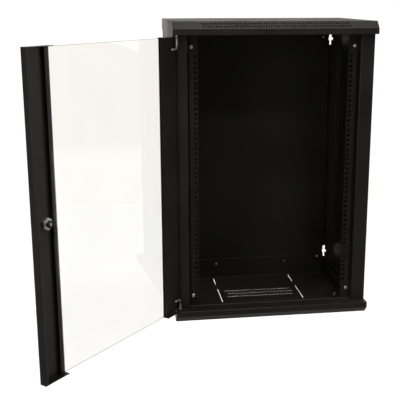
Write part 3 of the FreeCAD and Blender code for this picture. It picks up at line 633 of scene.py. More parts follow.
def threads(radius: float, pitch: float, low: float, high: float) -> list[tuple[float, float]]:
    """Profile of a screw thread as ridges and grooves.

    Args:
        radius: Outer radius.
        pitch: Distance between ridges.
        low: Height of the first groove.
        high: Height that the thread ends at.

    Returns:
        Pairs of radius and height, from low to high.
    """
    profile = []
    count = int((high - low) / pitch)
    for turn in range(count):
        profile.append((radius - THREAD_DEPTH * pitch, low + turn * pitch))
        profile.append((radius, low + (turn + 0.5) * pitch))
    return profile


def turned(profile: Iterable[tuple[float, float]], sides: int) -> list[Ring]:
    """Circles for a turned form, from pairs of radius and height."""
    return [round_ring(radius, height, sides) for radius, height in profile]


def swept(path: Sequence[Vector], radii: Sequence[float], across: Vector, sides: int) -> list[Ring]:
    """Circles along a path, for a bar or a wire.

    Args:
        path: Points along the middle of the bar.
        radii: Radius at each point.
        across: Direction that the path never runs in.
        sides: Points in each circle.

    Returns:
        One circle for each point of the path.
    """
    rings = []
    last = len(path) - 1
    for index, (middle, radius) in enumerate(zip(path, radii)):
        along = (path[min(index + 1, last)] - path[max(index - 1, 0)]).normalized()
        side = along.cross(across).normalized()
        other = along.cross(side)
        circle = round_ring(radius, 0.0, sides)
        rings.append([middle + side * point.x + other * point.y for point in circle])
    return rings


def loft(mesh: Mesh, rings: Sequence[Ring], place: Matrix, closed: bool = False) -> None:
    """Skin a run of rings that all have the same number of points.

    Args:
        mesh: Mesh that the skin is added to.
        rings: Rings in order along the form.
        place: Transform from the form's own axes to the cabinet's.
        closed: Whether the last ring joins the first; otherwise both ends are capped.
    """
    loops = [[mesh.verts.new(place @ point) for point in points] for points in rings]
    pairs = list(zip(loops, loops[1:]))
    if closed:
        pairs.append((loops[-1], loops[0]))
    else:
        mesh.faces.new(list(reversed(loops[0])))
        mesh.faces.new(loops[-1])
    for first, second in pairs:
        count = len(first)
        for index in range(count):
            beside = (index + 1) % count
            mesh.faces.new((first[index], first[beside], second[beside], second[index]))


def make_piece(name: str, mesh: Mesh) -> Piece:
    """Turn a finished mesh into a piece of the scene.

    Args:
        name: Name of the piece.
        mesh: Mesh in the cabinet's own frame.

    Returns:
        The new object.
    """
    bmesh.ops.recalc_face_normals(mesh, faces=mesh.faces[:])
    data = bpy.data.meshes.new(name)
    mesh.to_mesh(data)
    mesh.free()
    data.shade_smooth()
    data.set_sharp_from_angle(angle=SHARP_ANGLE)
    piece = bpy.data.objects.new(name, data)
    bpy.context.scene.collection.objects.link(piece)
    return piece


def lofted_piece(name: str, rings: Sequence[Ring], *places: Matrix, closed: bool = False) -> Piece:
    """Make a piece from one lofted form, or from copies of it.

    Args:
        name: Name of the piece.
        rings: Rings in order along the form.
        places: Transform from the form's own axes to the cabinet's, for each copy.
        closed: Whether the last ring joins the first.

    Returns:
        The new object.
    """
    mesh = bmesh.new()
    for place in places:
        loft(mesh, rings, place, closed)
    return make_piece(name, mesh)


def fit_piece(piece: Piece, finishes: Sequence[Material], body: Body, slot: Slot, *nodes: str) -> None:
    """Dress a piece, hang it on its body and let it stand for its nodes.

    Args:
        piece: Piece to fit.
        finishes: Materials in the order of the piece's slots.
        body: Body that carries it.
        slot: Material slot that the piece belongs to; not used.
        nodes: Nodes that it stands for.
    """
    for finish in finishes:
        piece.data.materials.append(finish)
    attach(piece, body.value)
    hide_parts(*nodes)
    LOG.info("made %s for %s", piece.name, ", ".join(nodes))


def dress_node(name: str, finish: Material, edge: float = 0.0) -> None:
    """Give a sheet-metal node its finish, and small rounds along its cut edges.

    Args:
        name: Name of the node.
        finish: Material for the whole node.
        edge: Width of the rounds, or none if it is zero.
    """
    node = frame["nodes"][name]
    node.material_slots[0].material = finish
    if edge:
        # The rounds need whole flat faces, so the triangles are joined up first.
        weld = node.modifiers.new("join_corners", "WELD")
        weld.merge_threshold = CORNER_WELD
        flat = node.modifiers.new("flat_faces", "DECIMATE")
        flat.decimate_type = "DISSOLVE"
        flat.angle_limit = FLAT_ANGLE
        rounds = node.modifiers.new("cut_edges", "BEVEL")
        rounds.width = edge
        rounds.segments = CUT_EDGE_SEGMENTS
        rounds.limit_method = "ANGLE"
        rounds.angle_limit = CUT_EDGE_ANGLE
        rounds.loop_slide = False
        rounds.use_clamp_overlap = False
        rounds.harden_normals = True
    LOG.info("dressed %s", name)


@dataclass
class CabinetShell:
    """Covers, front edges, panels and posts of the box."""

    shelf: FinishShelf
    edge: float = 0.0003
    plain_nodes: tuple[str, ...] = (
        "bottom_fascia", "top_cover", "bottom_cover", "top_entry_panel", "rear_panel",
        "left_side_panel", "right_side_panel", "left_front_post", "right_front_post",
        "left_rear_post", "right_rear_post",
    )
    vented_nodes: tuple[str, ...] = ("top_fascia", "bottom_entry_panel")

    def dress(self) -> None:
        """Dress the sheet-metal nodes of the box. The two vented ones in view keep plain edges."""
        coat = self.shelf.of(Slot.CABINET_COAT)
        for name in self.plain_nodes:
            dress_node(name, coat, self.edge)
        for name in self.vented_nodes:
            dress_node(name, coat)


@dataclass
class RackFrame:
    """Rack rails with the depth bars and brackets that carry them."""

    shelf: FinishShelf
    edge: float = 0.0003

    def dress(self) -> None:
        """Dress the rails, bars and brackets."""
        coat = self.shelf.of(Slot.RAIL_COAT)
        for side in Side:
            dress_node(side.value + "_rack_rail", coat)
            for end in End:
                dress_node("%s_%s_depth_bar" % (side.value, end.value), coat, self.edge)
                dress_node("%s_%s_rail_bracket" % (side.value, end.value), coat, self.edge)


@dataclass
class Fasteners:
    """Screws, bolts and the earth stud.

    A value whose name ends in share is a part of the radius, width or height that it belongs to.
    """

    shelf: FinishShelf
    sides: int = 40
    hex_sides: int = 36
    head_radius: float = 0.006
    # Half the width of the plain rail screw heads, corner to corner.
    head_corner: float = 0.006212
    head_height: float = 0.0035
    dome_shares: Profile = ((1.0, 0.0), (1.0, 0.18), (0.97, 0.4), (0.88, 0.66), (0.74, 0.85), (0.6, 0.95))
    recess_reach_share: float = 0.5
    recess_width_share: float = 0.1
    recess_rim_share: float = 0.98
    recess_floor_share: float = 0.42
    recess_floor_reach_share: float = 0.72
    recess_floor_width_share: float = 0.75
    hex_top_share: float = 0.475
    hex_chamfer_slope: float = 0.6
    hex_chamfer_share: float = 0.04
    dish_share: float = 0.36
    dish_floor_share: float = 0.32
    dish_level_share: float = 0.86
    shank_radius: float = 0.003
    shank_length: float = 0.014
    shank_tip_share: float = 0.7
    shank_lead_share: float = 0.95
    shank_lead_pitches: float = 0.7
    thread_pitch: float = 0.001
    bolt_across: float = 0.010
    panel_screw_across: float = 0.008
    panel_screw_height: float = 0.0025
    panel_screw_shank: float = 0.0019
    panel_screw_length: float = 0.0024
    middle_screw_x: float = 0.123
    corner_screw_lift: float = 0.011
    stud_nut_across: float = 0.010
    stud_nut_height: float = 0.005
    stud_lead_share: float = 0.9
    stud_lead_pitches: float = 0.6

    def build(self) -> None:
        """Make every fastener of the cabinet."""
        self.build_rail_screws()
        self.build_bracket_bolts()
        self.build_panel_screws()
        self.build_earth_stud()

    def shank(self) -> list[tuple[float, float]]:
        """Profile of a threaded shank that ends at the seat of its head.

        Returns:
            Pairs of radius and height, from the tip to the seat.
        """
        radius, length, pitch = self.shank_radius, self.shank_length, self.thread_pitch
        tip = (radius * self.shank_tip_share, -length)
        lead = (radius * self.shank_lead_share, -length + pitch * self.shank_lead_pitches)
        return [tip, lead] + threads(radius, pitch, -length + pitch, 0.0)

    def pan_screw(self, radius: float, top: float, shank: Profile) -> list[Ring]:
        """Rings of a pan-head screw with a cross recess, its head pointing along the third axis.

        Args:
            radius: Radius of the head.
            top: Height of the head.
            shank: Profile of the shank, up to the seat.

        Returns:
            Rings from the shank's tip to the floor of the recess.
        """
        reach, half_width = radius * self.recess_reach_share, radius * self.recess_width_share
        rim = cross_radius(reach, half_width)
        floor = cross_radius(
            reach * self.recess_floor_reach_share, half_width * self.recess_floor_width_share
        )
        rings = turned(shank, self.sides)
        rings += turned([(radius * share, top * rise) for share, rise in self.dome_shares], self.sides)
        rings.append(ring(rim, top * self.recess_rim_share, self.sides))
        rings.append(ring(floor, top * self.recess_floor_share, self.sides))
        return rings

    def hex_head(self, across: float, height: float) -> list[Ring]:
        """Rings of a six-sided head whose corners are chamfered at the top.

        Args:
            across: Width across flats.
            height: Height of the head.

        Returns:
            Rings from the seat to the edge of the flat top.
        """
        outline = hex_radius(across)
        seat = ring(outline, 0.0, self.hex_sides)
        shoulder = ring(outline, height, self.hex_sides)
        for point in shoulder:
            past_flat = math.hypot(point.x, point.y) - across / 2
            point.z -= past_flat * self.hex_chamfer_slope + height * self.hex_chamfer_share
        return [seat, shoulder, round_ring(across * self.hex_top_share, height, self.hex_sides)]

    def hex_screw(self, across: float, height: float, shank: Profile) -> list[Ring]:
        """Rings of a hex-head screw with a dished top, its head pointing along the third axis.

        Args:
            across: Width across flats.
            height: Height of the head.
            shank: Profile of the shank, up to the seat.

        Returns:
            Rings from the shank's tip to the floor of the dish.
        """
        rings = turned(shank, self.hex_sides) + self.hex_head(across, height)
        floor_level = height * self.dish_level_share
        rings.append(round_ring(across * self.dish_share, height, self.hex_sides))
        rings.append(round_ring(across * self.dish_floor_share, floor_level, self.hex_sides))
        return rings

    def build_rail_screws(self) -> None:
        """Make the four bright screws that hold the rails."""
        low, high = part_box("rail_screws")
        forwards = Matrix.Rotation(math.pi / 2, 4, "X")
        places = []
        for x in (low.x + self.head_corner, high.x - self.head_corner):
            for z in (low.z + self.head_corner, high.z - self.head_corner):
                places.append(Matrix.Translation((x, low.y + self.head_height, z)) @ forwards)
        rings = self.pan_screw(self.head_radius, self.head_height, self.shank())
        piece = lofted_piece("rail_pan_screws", rings, *places)
        fit_piece(piece, [self.shelf.of(Slot.ZINC)], Body.CABINET, Slot.ZINC, "rail_screws")

    def build_bracket_bolts(self) -> None:
        """Make the four bolts that hold the rail brackets on the depth bars."""
        low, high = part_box("bracket_bolts")
        half = self.bolt_across / 2
        middle_y = (low.y + high.y) / 2
        downwards = Matrix.Rotation(math.pi, 4, "X")
        places = []
        for x in (low.x + half, high.x - half):
            places.append(Matrix.Translation((x, middle_y, low.z + self.shank_length)))
            places.append(Matrix.Translation((x, middle_y, high.z - self.shank_length)) @ downwards)
        rings = self.hex_screw(self.bolt_across, self.head_height, self.shank())
        piece = lofted_piece("bracket_hex_bolts", rings, *places)
        fit_piece(piece, [self.shelf.of(Slot.ZINC)], Body.CABINET, Slot.ZINC, "bracket_bolts")

    def build_panel_screws(self) -> None:
        """Make the eight screws that hold the rear panel."""
        low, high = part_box("rear_panel_screws")
        half = self.panel_screw_across / 2
        corner = half / math.cos(math.pi / 6)
        seat_y = low.y + self.panel_screw_height
        lift = self.corner_screw_lift
        spots = []
        for z, corner_z in (
            (low.z + corner, low.z + corner + lift),
            (high.z - corner, high.z - corner - lift),
        ):
            spots += [(-self.middle_screw_x, z), (self.middle_screw_x, z)]
            spots += [(low.x + half, corner_z), (high.x - half, corner_z)]
        forwards = Matrix.Rotation(math.pi / 2, 4, "X")
        places = [Matrix.Translation((x, seat_y, z)) @ forwards for x, z in spots]
        shank = [(self.panel_screw_shank, -self.panel_screw_length), (self.panel_screw_shank, 0.0)]
        rings = self.pan_screw(half, self.panel_screw_height, shank)
        piece = lofted_piece("rear_panel_pan_screws", rings, *places)
        fit_piece(piece, [self.shelf.pin_zinc], Body.CABINET, Slot.ZINC, "rear_panel_screws")

    def build_earth_stud(self) -> None:
        """Make the threaded earth stud with its nut."""
        low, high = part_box("earth_stud")
        foot = Matrix.Translation(((low.x + high.x) / 2, (low.y + high.y) / 2, low.z))
        radius, pitch = self.shank_radius, self.thread_pitch
        top = high.z - low.z
        post = threads(radius, pitch, self.stud_nut_height, top - pitch)
        post.append((radius * self.stud_lead_share, top - pitch * self.stud_lead_pitches))
        post.append((radius * self.shank_tip_share, top))
        nut = self.hex_head(self.stud_nut_across, self.stud_nut_height)
        piece = lofted_piece("earth_stud_and_nut", nut + turned(post, self.hex_sides), foot)
        fit_piece(piece, [self.shelf.of(Slot.EARTH_METAL)], Body.CABINET, Slot.EARTH_METAL, "earth_stud")


def door_place() -> Matrix:
    """Transform from the shut door's own axes, round the hinge, to the door as it stands.

    Returns:
        The transform.
    """
    hinge = next(joint for joint in frame["joints"] if joint["name"] == "door_hinge")
    axis = Vector((hinge["pos_m"][0], hinge["pos_m"][1], 0.0))
    # The hinge's upper limit shuts the door, so a turn back by as much stands it open again.
    turn = Matrix.Rotation(-math.radians(hinge["range_deg"][1]), 4, "Z")
    return Matrix.Translation(axis) @ turn


@dataclass
class GlassDoor:
    """Door stiles, the glass pane between them and its seals."""

    shelf: FinishShelf
    edge: float = 0.00025
    pane_left: float = 0.069
    pane_right: float = 0.518
    pane_front: float = -0.0073
    pane_back: float = -0.0033
    arris: float = 0.0005
    least_clear_area: float = 0.1

    def build(self) -> None:
        """Dress the stiles and seals, and make the pane."""
        for name in ("lock_stile", "hinge_stile"):
            dress_node(name, self.shelf.of(Slot.DOOR_COAT), self.edge)
        for name in ("lock_side_seal", "hinge_side_seal"):
            dress_node(name, self.shelf.of(Slot.SEAL), self.edge)
        self.build_pane()

    def pane_ring(self, depth: float, inset: float, low: float, high: float) -> Ring:
        """Corners of the pane at one depth, drawn in by an inset.

        Args:
            depth: Place through the pane.
            inset: How far the corners are drawn in.
            low: Height of the pane's lower edge.
            high: Height of its upper edge.

        Returns:
            The four corners, in order.
        """
        left, right = self.pane_left + inset, self.pane_right - inset
        return [
            Vector((left, depth, low + inset)),
            Vector((right, depth, low + inset)),
            Vector((right, depth, high - inset)),
            Vector((left, depth, high - inset)),
        ]

    def build_pane(self) -> None:
        """Make the pane with arrised, ground edges."""
        low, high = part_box("door_glass")
        levels = (
            (self.pane_front, self.arris),
            (self.pane_front + self.arris, 0.0),
            (self.pane_back - self.arris, 0.0),
            (self.pane_back, self.arris),
        )
        mesh = bmesh.new()
        loft(mesh, [self.pane_ring(depth, inset, low.z, high.z) for depth, inset in levels], door_place())
        for face in mesh.faces:
            if face.calc_area() < self.least_clear_area:
                face.material_index = 1
        piece = make_piece("glass_pane", mesh)
        finishes = [self.shelf.of(Slot.GLASS), self.shelf.glass_edge]
        fit_piece(piece, finishes, Body.DOOR, Slot.GLASS, "door_glass")


@dataclass
class HingePins:
    """Spring-loaded hinge pins with their guides, clips and springs.

    A value whose name ends in share is a part of the pin's radius.
    """

    shelf: FinishShelf
    radius: float = 0.003
    bend: float = 0.007
    bend_steps: int = 12
    handle: float = 0.025
    tip_share: float = 0.6
    tip_length_share: float = 0.5
    handle_end_share: float = 0.7
    handle_end_length_share: float = 0.4
    sides: int = 28
    wire_radius: float = 0.0006
    wire_sides: int = 12
    coil_radius: float = 0.0042
    coil_turns: float = 4.0
    coil_steps: int = 28
    slide: float = 0.012
    edge: float = 0.0002

    def build(self) -> None:
        """Make both pins and springs, and dress the guides and clips."""
        for end, body in ((End.UPPER, Body.UPPER_PIN), (End.LOWER, Body.LOWER_PIN)):
            dress_node(end.value + "_pin_guide", self.shelf.of(Slot.DOOR_COAT), self.edge)
            dress_node(end.value + "_pin_clip", self.shelf.of(Slot.ZINC), self.edge)
            self.build_pin(end, body)
            self.build_spring(end)

    def build_pin(self, end: End, body: Body) -> None:
        """Make one bent pin.

        Args:
            end: End of the door that it is at.
            body: Body that it rides on.
        """
        low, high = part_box(end.value + "_hinge_pin")
        inwards = -1 if end is End.UPPER else 1
        tip = high.z if end is End.UPPER else low.z
        handle_level = low.z + self.radius if end is End.UPPER else high.z - self.radius
        bend_level = handle_level - inwards * self.bend
        path = [Vector((0, 0, tip)), Vector((0, 0, tip + inwards * self.radius * self.tip_length_share))]
        for step in range(self.bend_steps + 1):
            angle = math.pi / 2 * step / self.bend_steps
            out = self.bend * (1 - math.cos(angle))
            path.append(Vector((out, 0, bend_level + inwards * self.bend * math.sin(angle))))
        path.append(Vector((self.handle - self.radius * self.handle_end_length_share, 0, handle_level)))
        path.append(Vector((self.handle, 0, handle_level)))
        radii = [self.radius] * len(path)
        radii[0] *= self.tip_share
        radii[-1] *= self.handle_end_share
        rings = swept(path, radii, Vector((0, 1, 0)), self.sides)
        piece = lofted_piece(end.value + "_pin_bar", rings, door_place())
        fit_piece(piece, [self.shelf.pin_zinc], body, Slot.ZINC, end.value + "_hinge_pin")

    def build_spring(self, end: End) -> None:
        """Make one coil spring at one fixed length; nothing here lets it close up as its pin is drawn.

        Args:
            end: End of the door that it is at.
        """
        low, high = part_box(end.value + "_pin_spring")
        start = low.z + self.wire_radius
        length = high.z - low.z - 2 * self.wire_radius
        steps = int(self.coil_turns * self.coil_steps)
        path = []
        for step in range(steps + 1):
            angle = 2 * math.pi * step / self.coil_steps
            x, y = self.coil_radius * math.cos(angle), self.coil_radius * math.sin(angle)
            path.append(Vector((x, y, start + length * step / steps)))
        rings = swept(path, [self.wire_radius] * len(path), Vector((0, 0, 1)), self.wire_sides)
        piece = lofted_piece(end.value + "_spring_coil", rings, door_place())
        finishes = [self.shelf.of(Slot.SPRING_STEEL)]
        fit_piece(piece, finishes, Body.DOOR, Slot.SPRING_STEEL, end.value + "_pin_spring")
        anchor = (low + high) / 2
        anchor.z = low.z if end is End.UPPER else high.z
        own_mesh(piece)


@dataclass
class DoorLock:
    """Cam lock in the lock stile: housing, nut, key plug, cranked cam and screw.

    A value whose name ends in share is a part of the radius or width that it belongs to. Places along
    the lock's axis are measured from the hinge's plane, outwards.
    """

    shelf: FinishShelf
    fasteners: Fasteners
    lock_x: float = 0.5345
    lock_height: float = 0.441
    sides: int = 40
    bezel_radius: float = 0.012
    bezel_front: float = 0.013
    bezel_falls: Profile = ((1.0, 0.001), (0.95, 0.0002), (0.88, 0.0), (0.64, 0.0), (0.58, 0.0005))
    bezel_floor: float = 0.0005
    door_face: float = 0.010
    barrel_radius: float = 0.0095
    barrel_end: float = 0.0013
    barrel_end_share: float = 0.93
    thread_pitch: float = 0.001
    thread_start: float = 0.0008
    thread_stop: float = 0.0005
    bore_radius: float = 0.0061
    plug_radius: float = 0.006
    plug_chamfer: float = 0.0006
    plug_chamfer_share: float = 0.93
    plug_face_share: float = 0.8
    key_half_width: float = 0.001
    key_half_height: float = 0.004
    key_depth: float = 0.004
    nut_across: float = 0.028
    nut_seat: float = 0.0088
    nut_height: float = 0.006
    nut_clearance: float = 0.0001
    nut_chamfer: float = 0.0006
    cam_front: float = 0.0003
    cam_sheet: float = 0.0025
    cam_hub: float = 0.009
    cam_hub_steps: int = 14
    cam_half_width: float = 0.005
    cam_crank: float = 0.0075
    cam_depth: float = 0.0213
    cam_length: float = 0.028
    cam_bend: float = 0.0005
    cam_bend_steps: int = 5
    cam_rounding: float = 0.003
    cam_chamfer: float = 0.0003
    screw_across: float = 0.008
    screw_height: float = 0.0035
    screw_neck_share: float = 0.48
    screw_neck: float = 0.0001

    def place(self) -> Matrix:
        """Transform from the lock's axes, with the third pointing out of the door, to the cabinet's."""
        centre = Matrix.Translation((self.lock_x, 0.0, self.lock_height))
        return door_place() @ centre @ Matrix.Rotation(math.pi / 2, 4, "X")

    def place_inwards(self, level: float) -> Matrix:
        """Transform for a form that points into the cabinet from a level on the lock's axis."""
        return self.place() @ (Matrix.Translation((0, 0, level)) @ Matrix.Rotation(math.pi, 4, "X"))

    def build(self) -> None:
        """Make every piece of the lock."""
        self.build_housing()
        self.build_nut()
        self.build_plug()
        self.build_cam()
        self.build_screw()

    def build_housing(self) -> None:
        """Make the bezel and threaded barrel with the plug's bore."""
        front, face, end = self.bezel_front, self.door_face, self.barrel_end
        low, high = end + self.thread_start, face - self.thread_stop
        profile = [(self.bore_radius, end), (self.barrel_radius * self.barrel_end_share, end)]
        profile += threads(self.barrel_radius, self.thread_pitch, low, high)
        profile += [(self.barrel_radius, face), (self.bezel_radius, face)]
        profile += [(self.bezel_radius * share, front - fall) for share, fall in self.bezel_falls]
        profile.append((self.bore_radius, front - self.bezel_floor))
        rings = turned(profile, self.sides)
        piece = lofted_piece("lock_bezel_and_barrel", rings, self.place(), closed=True)
        fit_piece(piece, [self.shelf.of(Slot.LOCK_METAL)], Body.DOOR, Slot.LOCK_METAL, "lock_housing")

    def build_nut(self) -> None:
        """Make the six-sided nut that clamps the lock to the door."""
        sides = self.fasteners.hex_sides
        bore = self.barrel_radius + self.nut_clearance
        rings = self.fasteners.hex_head(self.nut_across, self.nut_height)
        rings.append(round_ring(bore + self.nut_chamfer, self.nut_height, sides))
        rings.append(round_ring(bore, self.nut_height - self.nut_chamfer, sides))
        rings.append(round_ring(bore, 0.0, sides))
        piece = lofted_piece("lock_ring_nut", rings, self.place_inwards(self.nut_seat), closed=True)
        fit_piece(piece, [self.shelf.of(Slot.ZINC)], Body.DOOR, Slot.ZINC, "lock_nut")

    def build_plug(self) -> None:
        """Make the key plug with its upright key slot."""
        radius, front = self.plug_radius, self.bezel_front
        key_slot = slot_radius(self.key_half_width, self.key_half_height)
        profile = [
            (radius, self.cam_front),
            (radius, front - self.plug_chamfer),
            (radius * self.plug_chamfer_share, front),
            (radius * self.plug_face_share, front),
        ]
        rings = turned(profile, self.sides)
        rings.append(ring(key_slot, front, self.sides))
        rings.append(ring(key_slot, front - self.key_depth, self.sides))
        piece = lofted_piece("lock_key_plug", rings, self.place())
        fit_piece(piece, [self.shelf.of(Slot.LOCK_METAL)], Body.CAM, Slot.LOCK_METAL, "lock_plug")

    def cam_section(self, middle: Vector, lean: float, half_width: float) -> Ring:
        """Cross-section of the cam's strip, with its corners taken off.

        Args:
            middle: Middle of the section.
            lean: Angle that the strip has been bent through, towards the cabinet.
            half_width: Half the strip's width there.

        Returns:
            Points of the section, in order.
        """
        across = Vector((1.0, 0.0, 0.0))
        through = Vector((0.0, -math.sin(lean), math.cos(lean)))
        half, cut = self.cam_sheet / 2, self.cam_chamfer
        corners = ((1, 1), (-1, 1), (-1, -1), (1, -1))
        points = []
        for index, (side, face) in enumerate(corners):
            along = middle + across * side * half_width + through * face * (half - cut)
            inwards = middle + across * side * (half_width - cut) + through * face * half
            points += [along, inwards] if index % 2 == 0 else [inwards, along]
        return points

    def cam_sections(self) -> list[Ring]:
        """Sections of the cam from the top of its hub, round both bends, to the end of its tongue.

        Returns:
            The sections, in order.
        """
        half_sheet = self.cam_sheet / 2
        hub_level = self.cam_front - half_sheet
        tongue_level = self.cam_front - self.cam_depth + half_sheet
        bend = self.cam_bend + half_sheet
        web = -self.cam_crank + half_sheet
        neck = math.acos((web + bend) / self.cam_hub)
        steps = self.cam_bend_steps
        sections = []
        # Round hub, from its top to where the web begins.
        for step in range(self.cam_hub_steps + 1):
            angle = neck * (step + 1) / (self.cam_hub_steps + 1)
            middle = Vector((0.0, self.cam_hub * math.cos(angle), hub_level))
            sections.append(self.cam_section(middle, 0.0, self.cam_hub * math.sin(angle)))
        # Bend into the web, which narrows to the tongue's width.
        spare = self.cam_hub * math.sin(neck) - self.cam_half_width
        for step in range(1, steps + 1):
            lean = math.pi / 2 * step / steps
            out, down = bend * math.sin(lean), bend * (1 - math.cos(lean))
            middle = Vector((0.0, web + bend - out, hub_level - down))
            half_width = self.cam_half_width + spare * (1 - math.sin(lean))
            sections.append(self.cam_section(middle, lean, half_width))
        # Bend out of the web.
        for step in range(steps + 1):
            lean = math.pi / 2 * (1 - step / steps)
            out, down = bend * (1 - math.sin(lean)), bend * math.cos(lean)
            middle = Vector((0.0, web - out, tongue_level + bend - down))
            sections.append(self.cam_section(middle, lean, self.cam_half_width))
        # Rounded end of the tongue.
        for step in range(steps + 1):
            angle = math.pi / 2 * step / steps
            drop = self.cam_length - self.cam_rounding * (1 - math.sin(angle))
            half_width = self.cam_half_width - self.cam_rounding * (1 - math.cos(angle))
            sections.append(self.cam_section(Vector((0.0, -drop, tongue_level)), 0.0, half_width))
        return sections

    def build_cam(self) -> None:
        """Make the cam, a strip that is cranked back from its round hub to its tongue."""
        piece = lofted_piece("lock_tongue", self.cam_sections(), self.place())
        fit_piece(piece, [self.shelf.black_zinc], Body.CAM, Slot.ZINC, "lock_cam")

    def build_screw(self) -> None:
        """Make the screw that holds the cam."""
        neck_radius = self.screw_across * self.screw_neck_share
        neck = [(neck_radius, -self.screw_neck), (neck_radius, 0.0)]
        rings = self.fasteners.hex_screw(self.screw_across, self.screw_height, neck)
        piece = lofted_piece("lock_tongue_screw", rings, self.place_inwards(self.cam_front - self.cam_sheet))
        fit_piece(piece, [self.shelf.of(Slot.EARTH_METAL)], Body.CAM, Slot.ZINC, "cam_screw")


@dataclass(frozen=True)
class Softbox:
    """One soft area light."""

    name: str
    place: tuple[float, float, float]
    target: tuple[float, float, float]
    size: tuple[float, float]
    power: float
    spread: float = math.pi
    colour: tuple[float, float, float] = WARM

    def build(self) -> None:
        """Hang the light and turn it to its target."""
        data = bpy.data.lights.new(self.name, "AREA")
        data.color = self.colour
        data.shape = "RECTANGLE"
        data.size, data.size_y = self.size
        data.energy = self.power
        data.spread = self.spread
        light = bpy.data.objects.new(self.name, data)
        light.location = self.place
        aim = Vector(self.target) - Vector(self.place)
        light.rotation_euler = aim.to_track_quat("-Z", "Y").to_euler()
        light.visible_camera = False
        bpy.context.scene.collection.objects.link(light)
        LOG.info("hung %s", self.name)


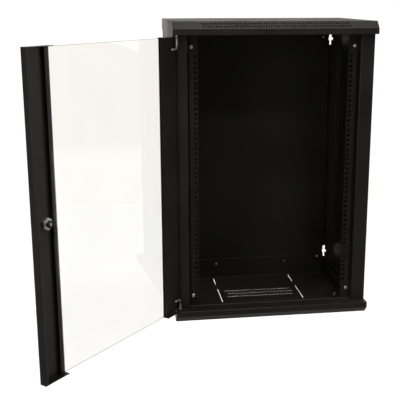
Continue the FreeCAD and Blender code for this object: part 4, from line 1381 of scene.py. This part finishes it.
@dataclass
class Studio:
    """Pale floor and soft light: bright behind the cabinet and on the floor at its right, dim before it."""

    floor_level: float = -1.25
    floor_half_width: float = 40.0
    floor_front: float = -20.0
    floor_back: float = 6.2
    dim_colour: Colour = (0.08, 0.077, 0.067, 1.0)
    band_colour: Colour = (1.1, 1.06, 1.01, 1.0)
    band_turn: float = math.radians(30)
    band_start: float = 0.2
    band_stop: float = 0.6
    band_low: float = 0.2
    band_high: float = 0.85
    lights: tuple[Softbox, ...] = (
        Softbox(
            "back_floor_light", place=(0.6, 4.2, 1.35), target=(0.6, 4.2, -1.25), size=(9.0, 6.4),
            power=196.0, spread=math.radians(30), colour=WHITE,
        ),
        Softbox(
            "key_softbox", place=(-2.16, -2.28, 0.8), target=(0.0, 0.0, 0.45), size=(1.4, 1.8),
            power=5.0, spread=math.radians(70),
        ),
        Softbox(
            "front_strip", place=(0.0, -3.0, 2.85), target=(0.0, 0.0, 0.6), size=(2.2, 0.3),
            power=16.0,
        ),
        Softbox(
            "side_floor_light", place=(6.5, 0.6, 1.35), target=(6.5, 0.6, -1.25), size=(6.0, 3.5),
            power=45.0, spread=math.radians(30), colour=WHITE,
        ),
        Softbox(
            "low_side_softbox", place=(2.8, -1.3, -0.45), target=(-0.3, -0.25, 0.4), size=(2.4, 0.8),
            power=0.3, spread=math.radians(60),
        ),
        Softbox(
            "overhead_softbox", place=(0.2, -1.25, 3.05), target=(0.1, -0.15, 0.6), size=(1.4, 1.8),
            power=6.4, spread=math.radians(60),
        ),
    )

    def build(self) -> None:
        """Make the floor, the dome and the lights."""
        self.build_floor()
        self.build_dome()
        for light in self.lights:
            light.build()
        bpy.context.scene.view_settings.view_transform = "Standard"

    def build_floor(self) -> None:
        """Make the floor as one flat sheet."""
        half, level = self.floor_half_width, self.floor_level
        front, back = self.floor_front, self.floor_back
        mesh = bmesh.new()
        corners = ((-half, front), (half, front), (half, back), (-half, back))
        mesh.faces.new([mesh.verts.new((x, y, level)) for x, y in corners])
        floor = make_piece("studio_floor", mesh)
        floor.data.materials.append(StudioPaper("studio_paper").build())

    def build_dome(self) -> None:
        """Light the surroundings: a bright band low behind the cabinet, dim everywhere else."""
        world = bpy.data.worlds.new("studio_dome")
        bpy.context.scene.world = world
        world.use_nodes = True
        nodes, links = world.node_tree.nodes, world.node_tree.links
        nodes.clear()
        output = nodes.new("ShaderNodeOutputWorld")
        background = nodes.new("ShaderNodeBackground")
        direction = nodes.new("ShaderNodeTexCoord")
        split = nodes.new("ShaderNodeSeparateXYZ")
        links.new(direction.outputs["Generated"], split.inputs["Vector"])
        behind = nodes.new("ShaderNodeVectorMath")
        behind.operation = "DOT_PRODUCT"
        behind.inputs[1].default_value = (math.sin(self.band_turn), math.cos(self.band_turn), 0.0)
        links.new(direction.outputs["Generated"], behind.inputs[0])
        both = nodes.new("ShaderNodeMath")
        both.operation = "MULTIPLY"
        backwards = self.share(world, behind.outputs["Value"], self.band_start, self.band_stop)
        links.new(backwards, both.inputs[0])
        low_down = self.share(world, split.outputs["Z"], self.band_high, self.band_low)
        links.new(low_down, both.inputs[1])
        mix = nodes.new("ShaderNodeMix")
        mix.data_type = "RGBA"
        mix.inputs[MIX_FIRST].default_value = self.dim_colour
        mix.inputs[MIX_SECOND].default_value = self.band_colour
        links.new(both.outputs["Value"], mix.inputs["Factor"])
        links.new(mix.outputs[MIX_RESULT], background.inputs["Color"])
        links.new(background.outputs["Background"], output.inputs["Surface"])

    def share(self, world: bpy.types.World, source: Socket, start: float, stop: float) -> Socket:
        """Add a soft step to the dome.

        Args:
            world: Dome that it is added to.
            source: Value that the step follows.
            start: Value at which the step begins at 0.
            stop: Value at which it reaches 1.

        Returns:
            The step's value.
        """
        step = world.node_tree.nodes.new("ShaderNodeMapRange")
        step.interpolation_type = "SMOOTHSTEP"
        step.inputs["From Min"].default_value = start
        step.inputs["From Max"].default_value = stop
        world.node_tree.links.new(source, step.inputs["Value"])
        return step.outputs["Result"]


@dataclass
class PhotoCamera:
    """Camera at the photograph's viewing angle."""

    place: tuple[float, float, float] = (-0.4975, -2.4795, 0.9652)
    pitch: float = 0.24652
    turn: float = -0.14699
    lens_mm: float = 72.25
    sensor_mm: float = 36.0
    shift_x: float = -0.0557
    shift_y: float = -0.0001

    def build(self) -> None:
        """Set up the camera."""
        data = bpy.data.cameras.new("photo_camera")
        data.sensor_width = self.sensor_mm
        data.lens = self.lens_mm
        data.shift_x = self.shift_x
        data.shift_y = self.shift_y
        data.dof.use_dof = False
        camera = bpy.data.objects.new("photo_camera", data)
        camera.location = self.place
        camera.rotation_euler = (math.pi / 2 - self.pitch, 0.0, self.turn)
        bpy.context.scene.collection.objects.link(camera)
        bpy.context.scene.camera = camera


def main() -> None:
    """Build the scene in order."""
    logging.basicConfig(level=logging.INFO)
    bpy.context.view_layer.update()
    shelf = FinishShelf()
    fasteners = Fasteners(shelf)
    CabinetShell(shelf).dress()
    RackFrame(shelf).dress()
    fasteners.build()
    GlassDoor(shelf).build()
    HingePins(shelf).build()
    DoorLock(shelf, fasteners).build()
    Studio().build()
    PhotoCamera().build()


if __name__ == "__main__":
    main()
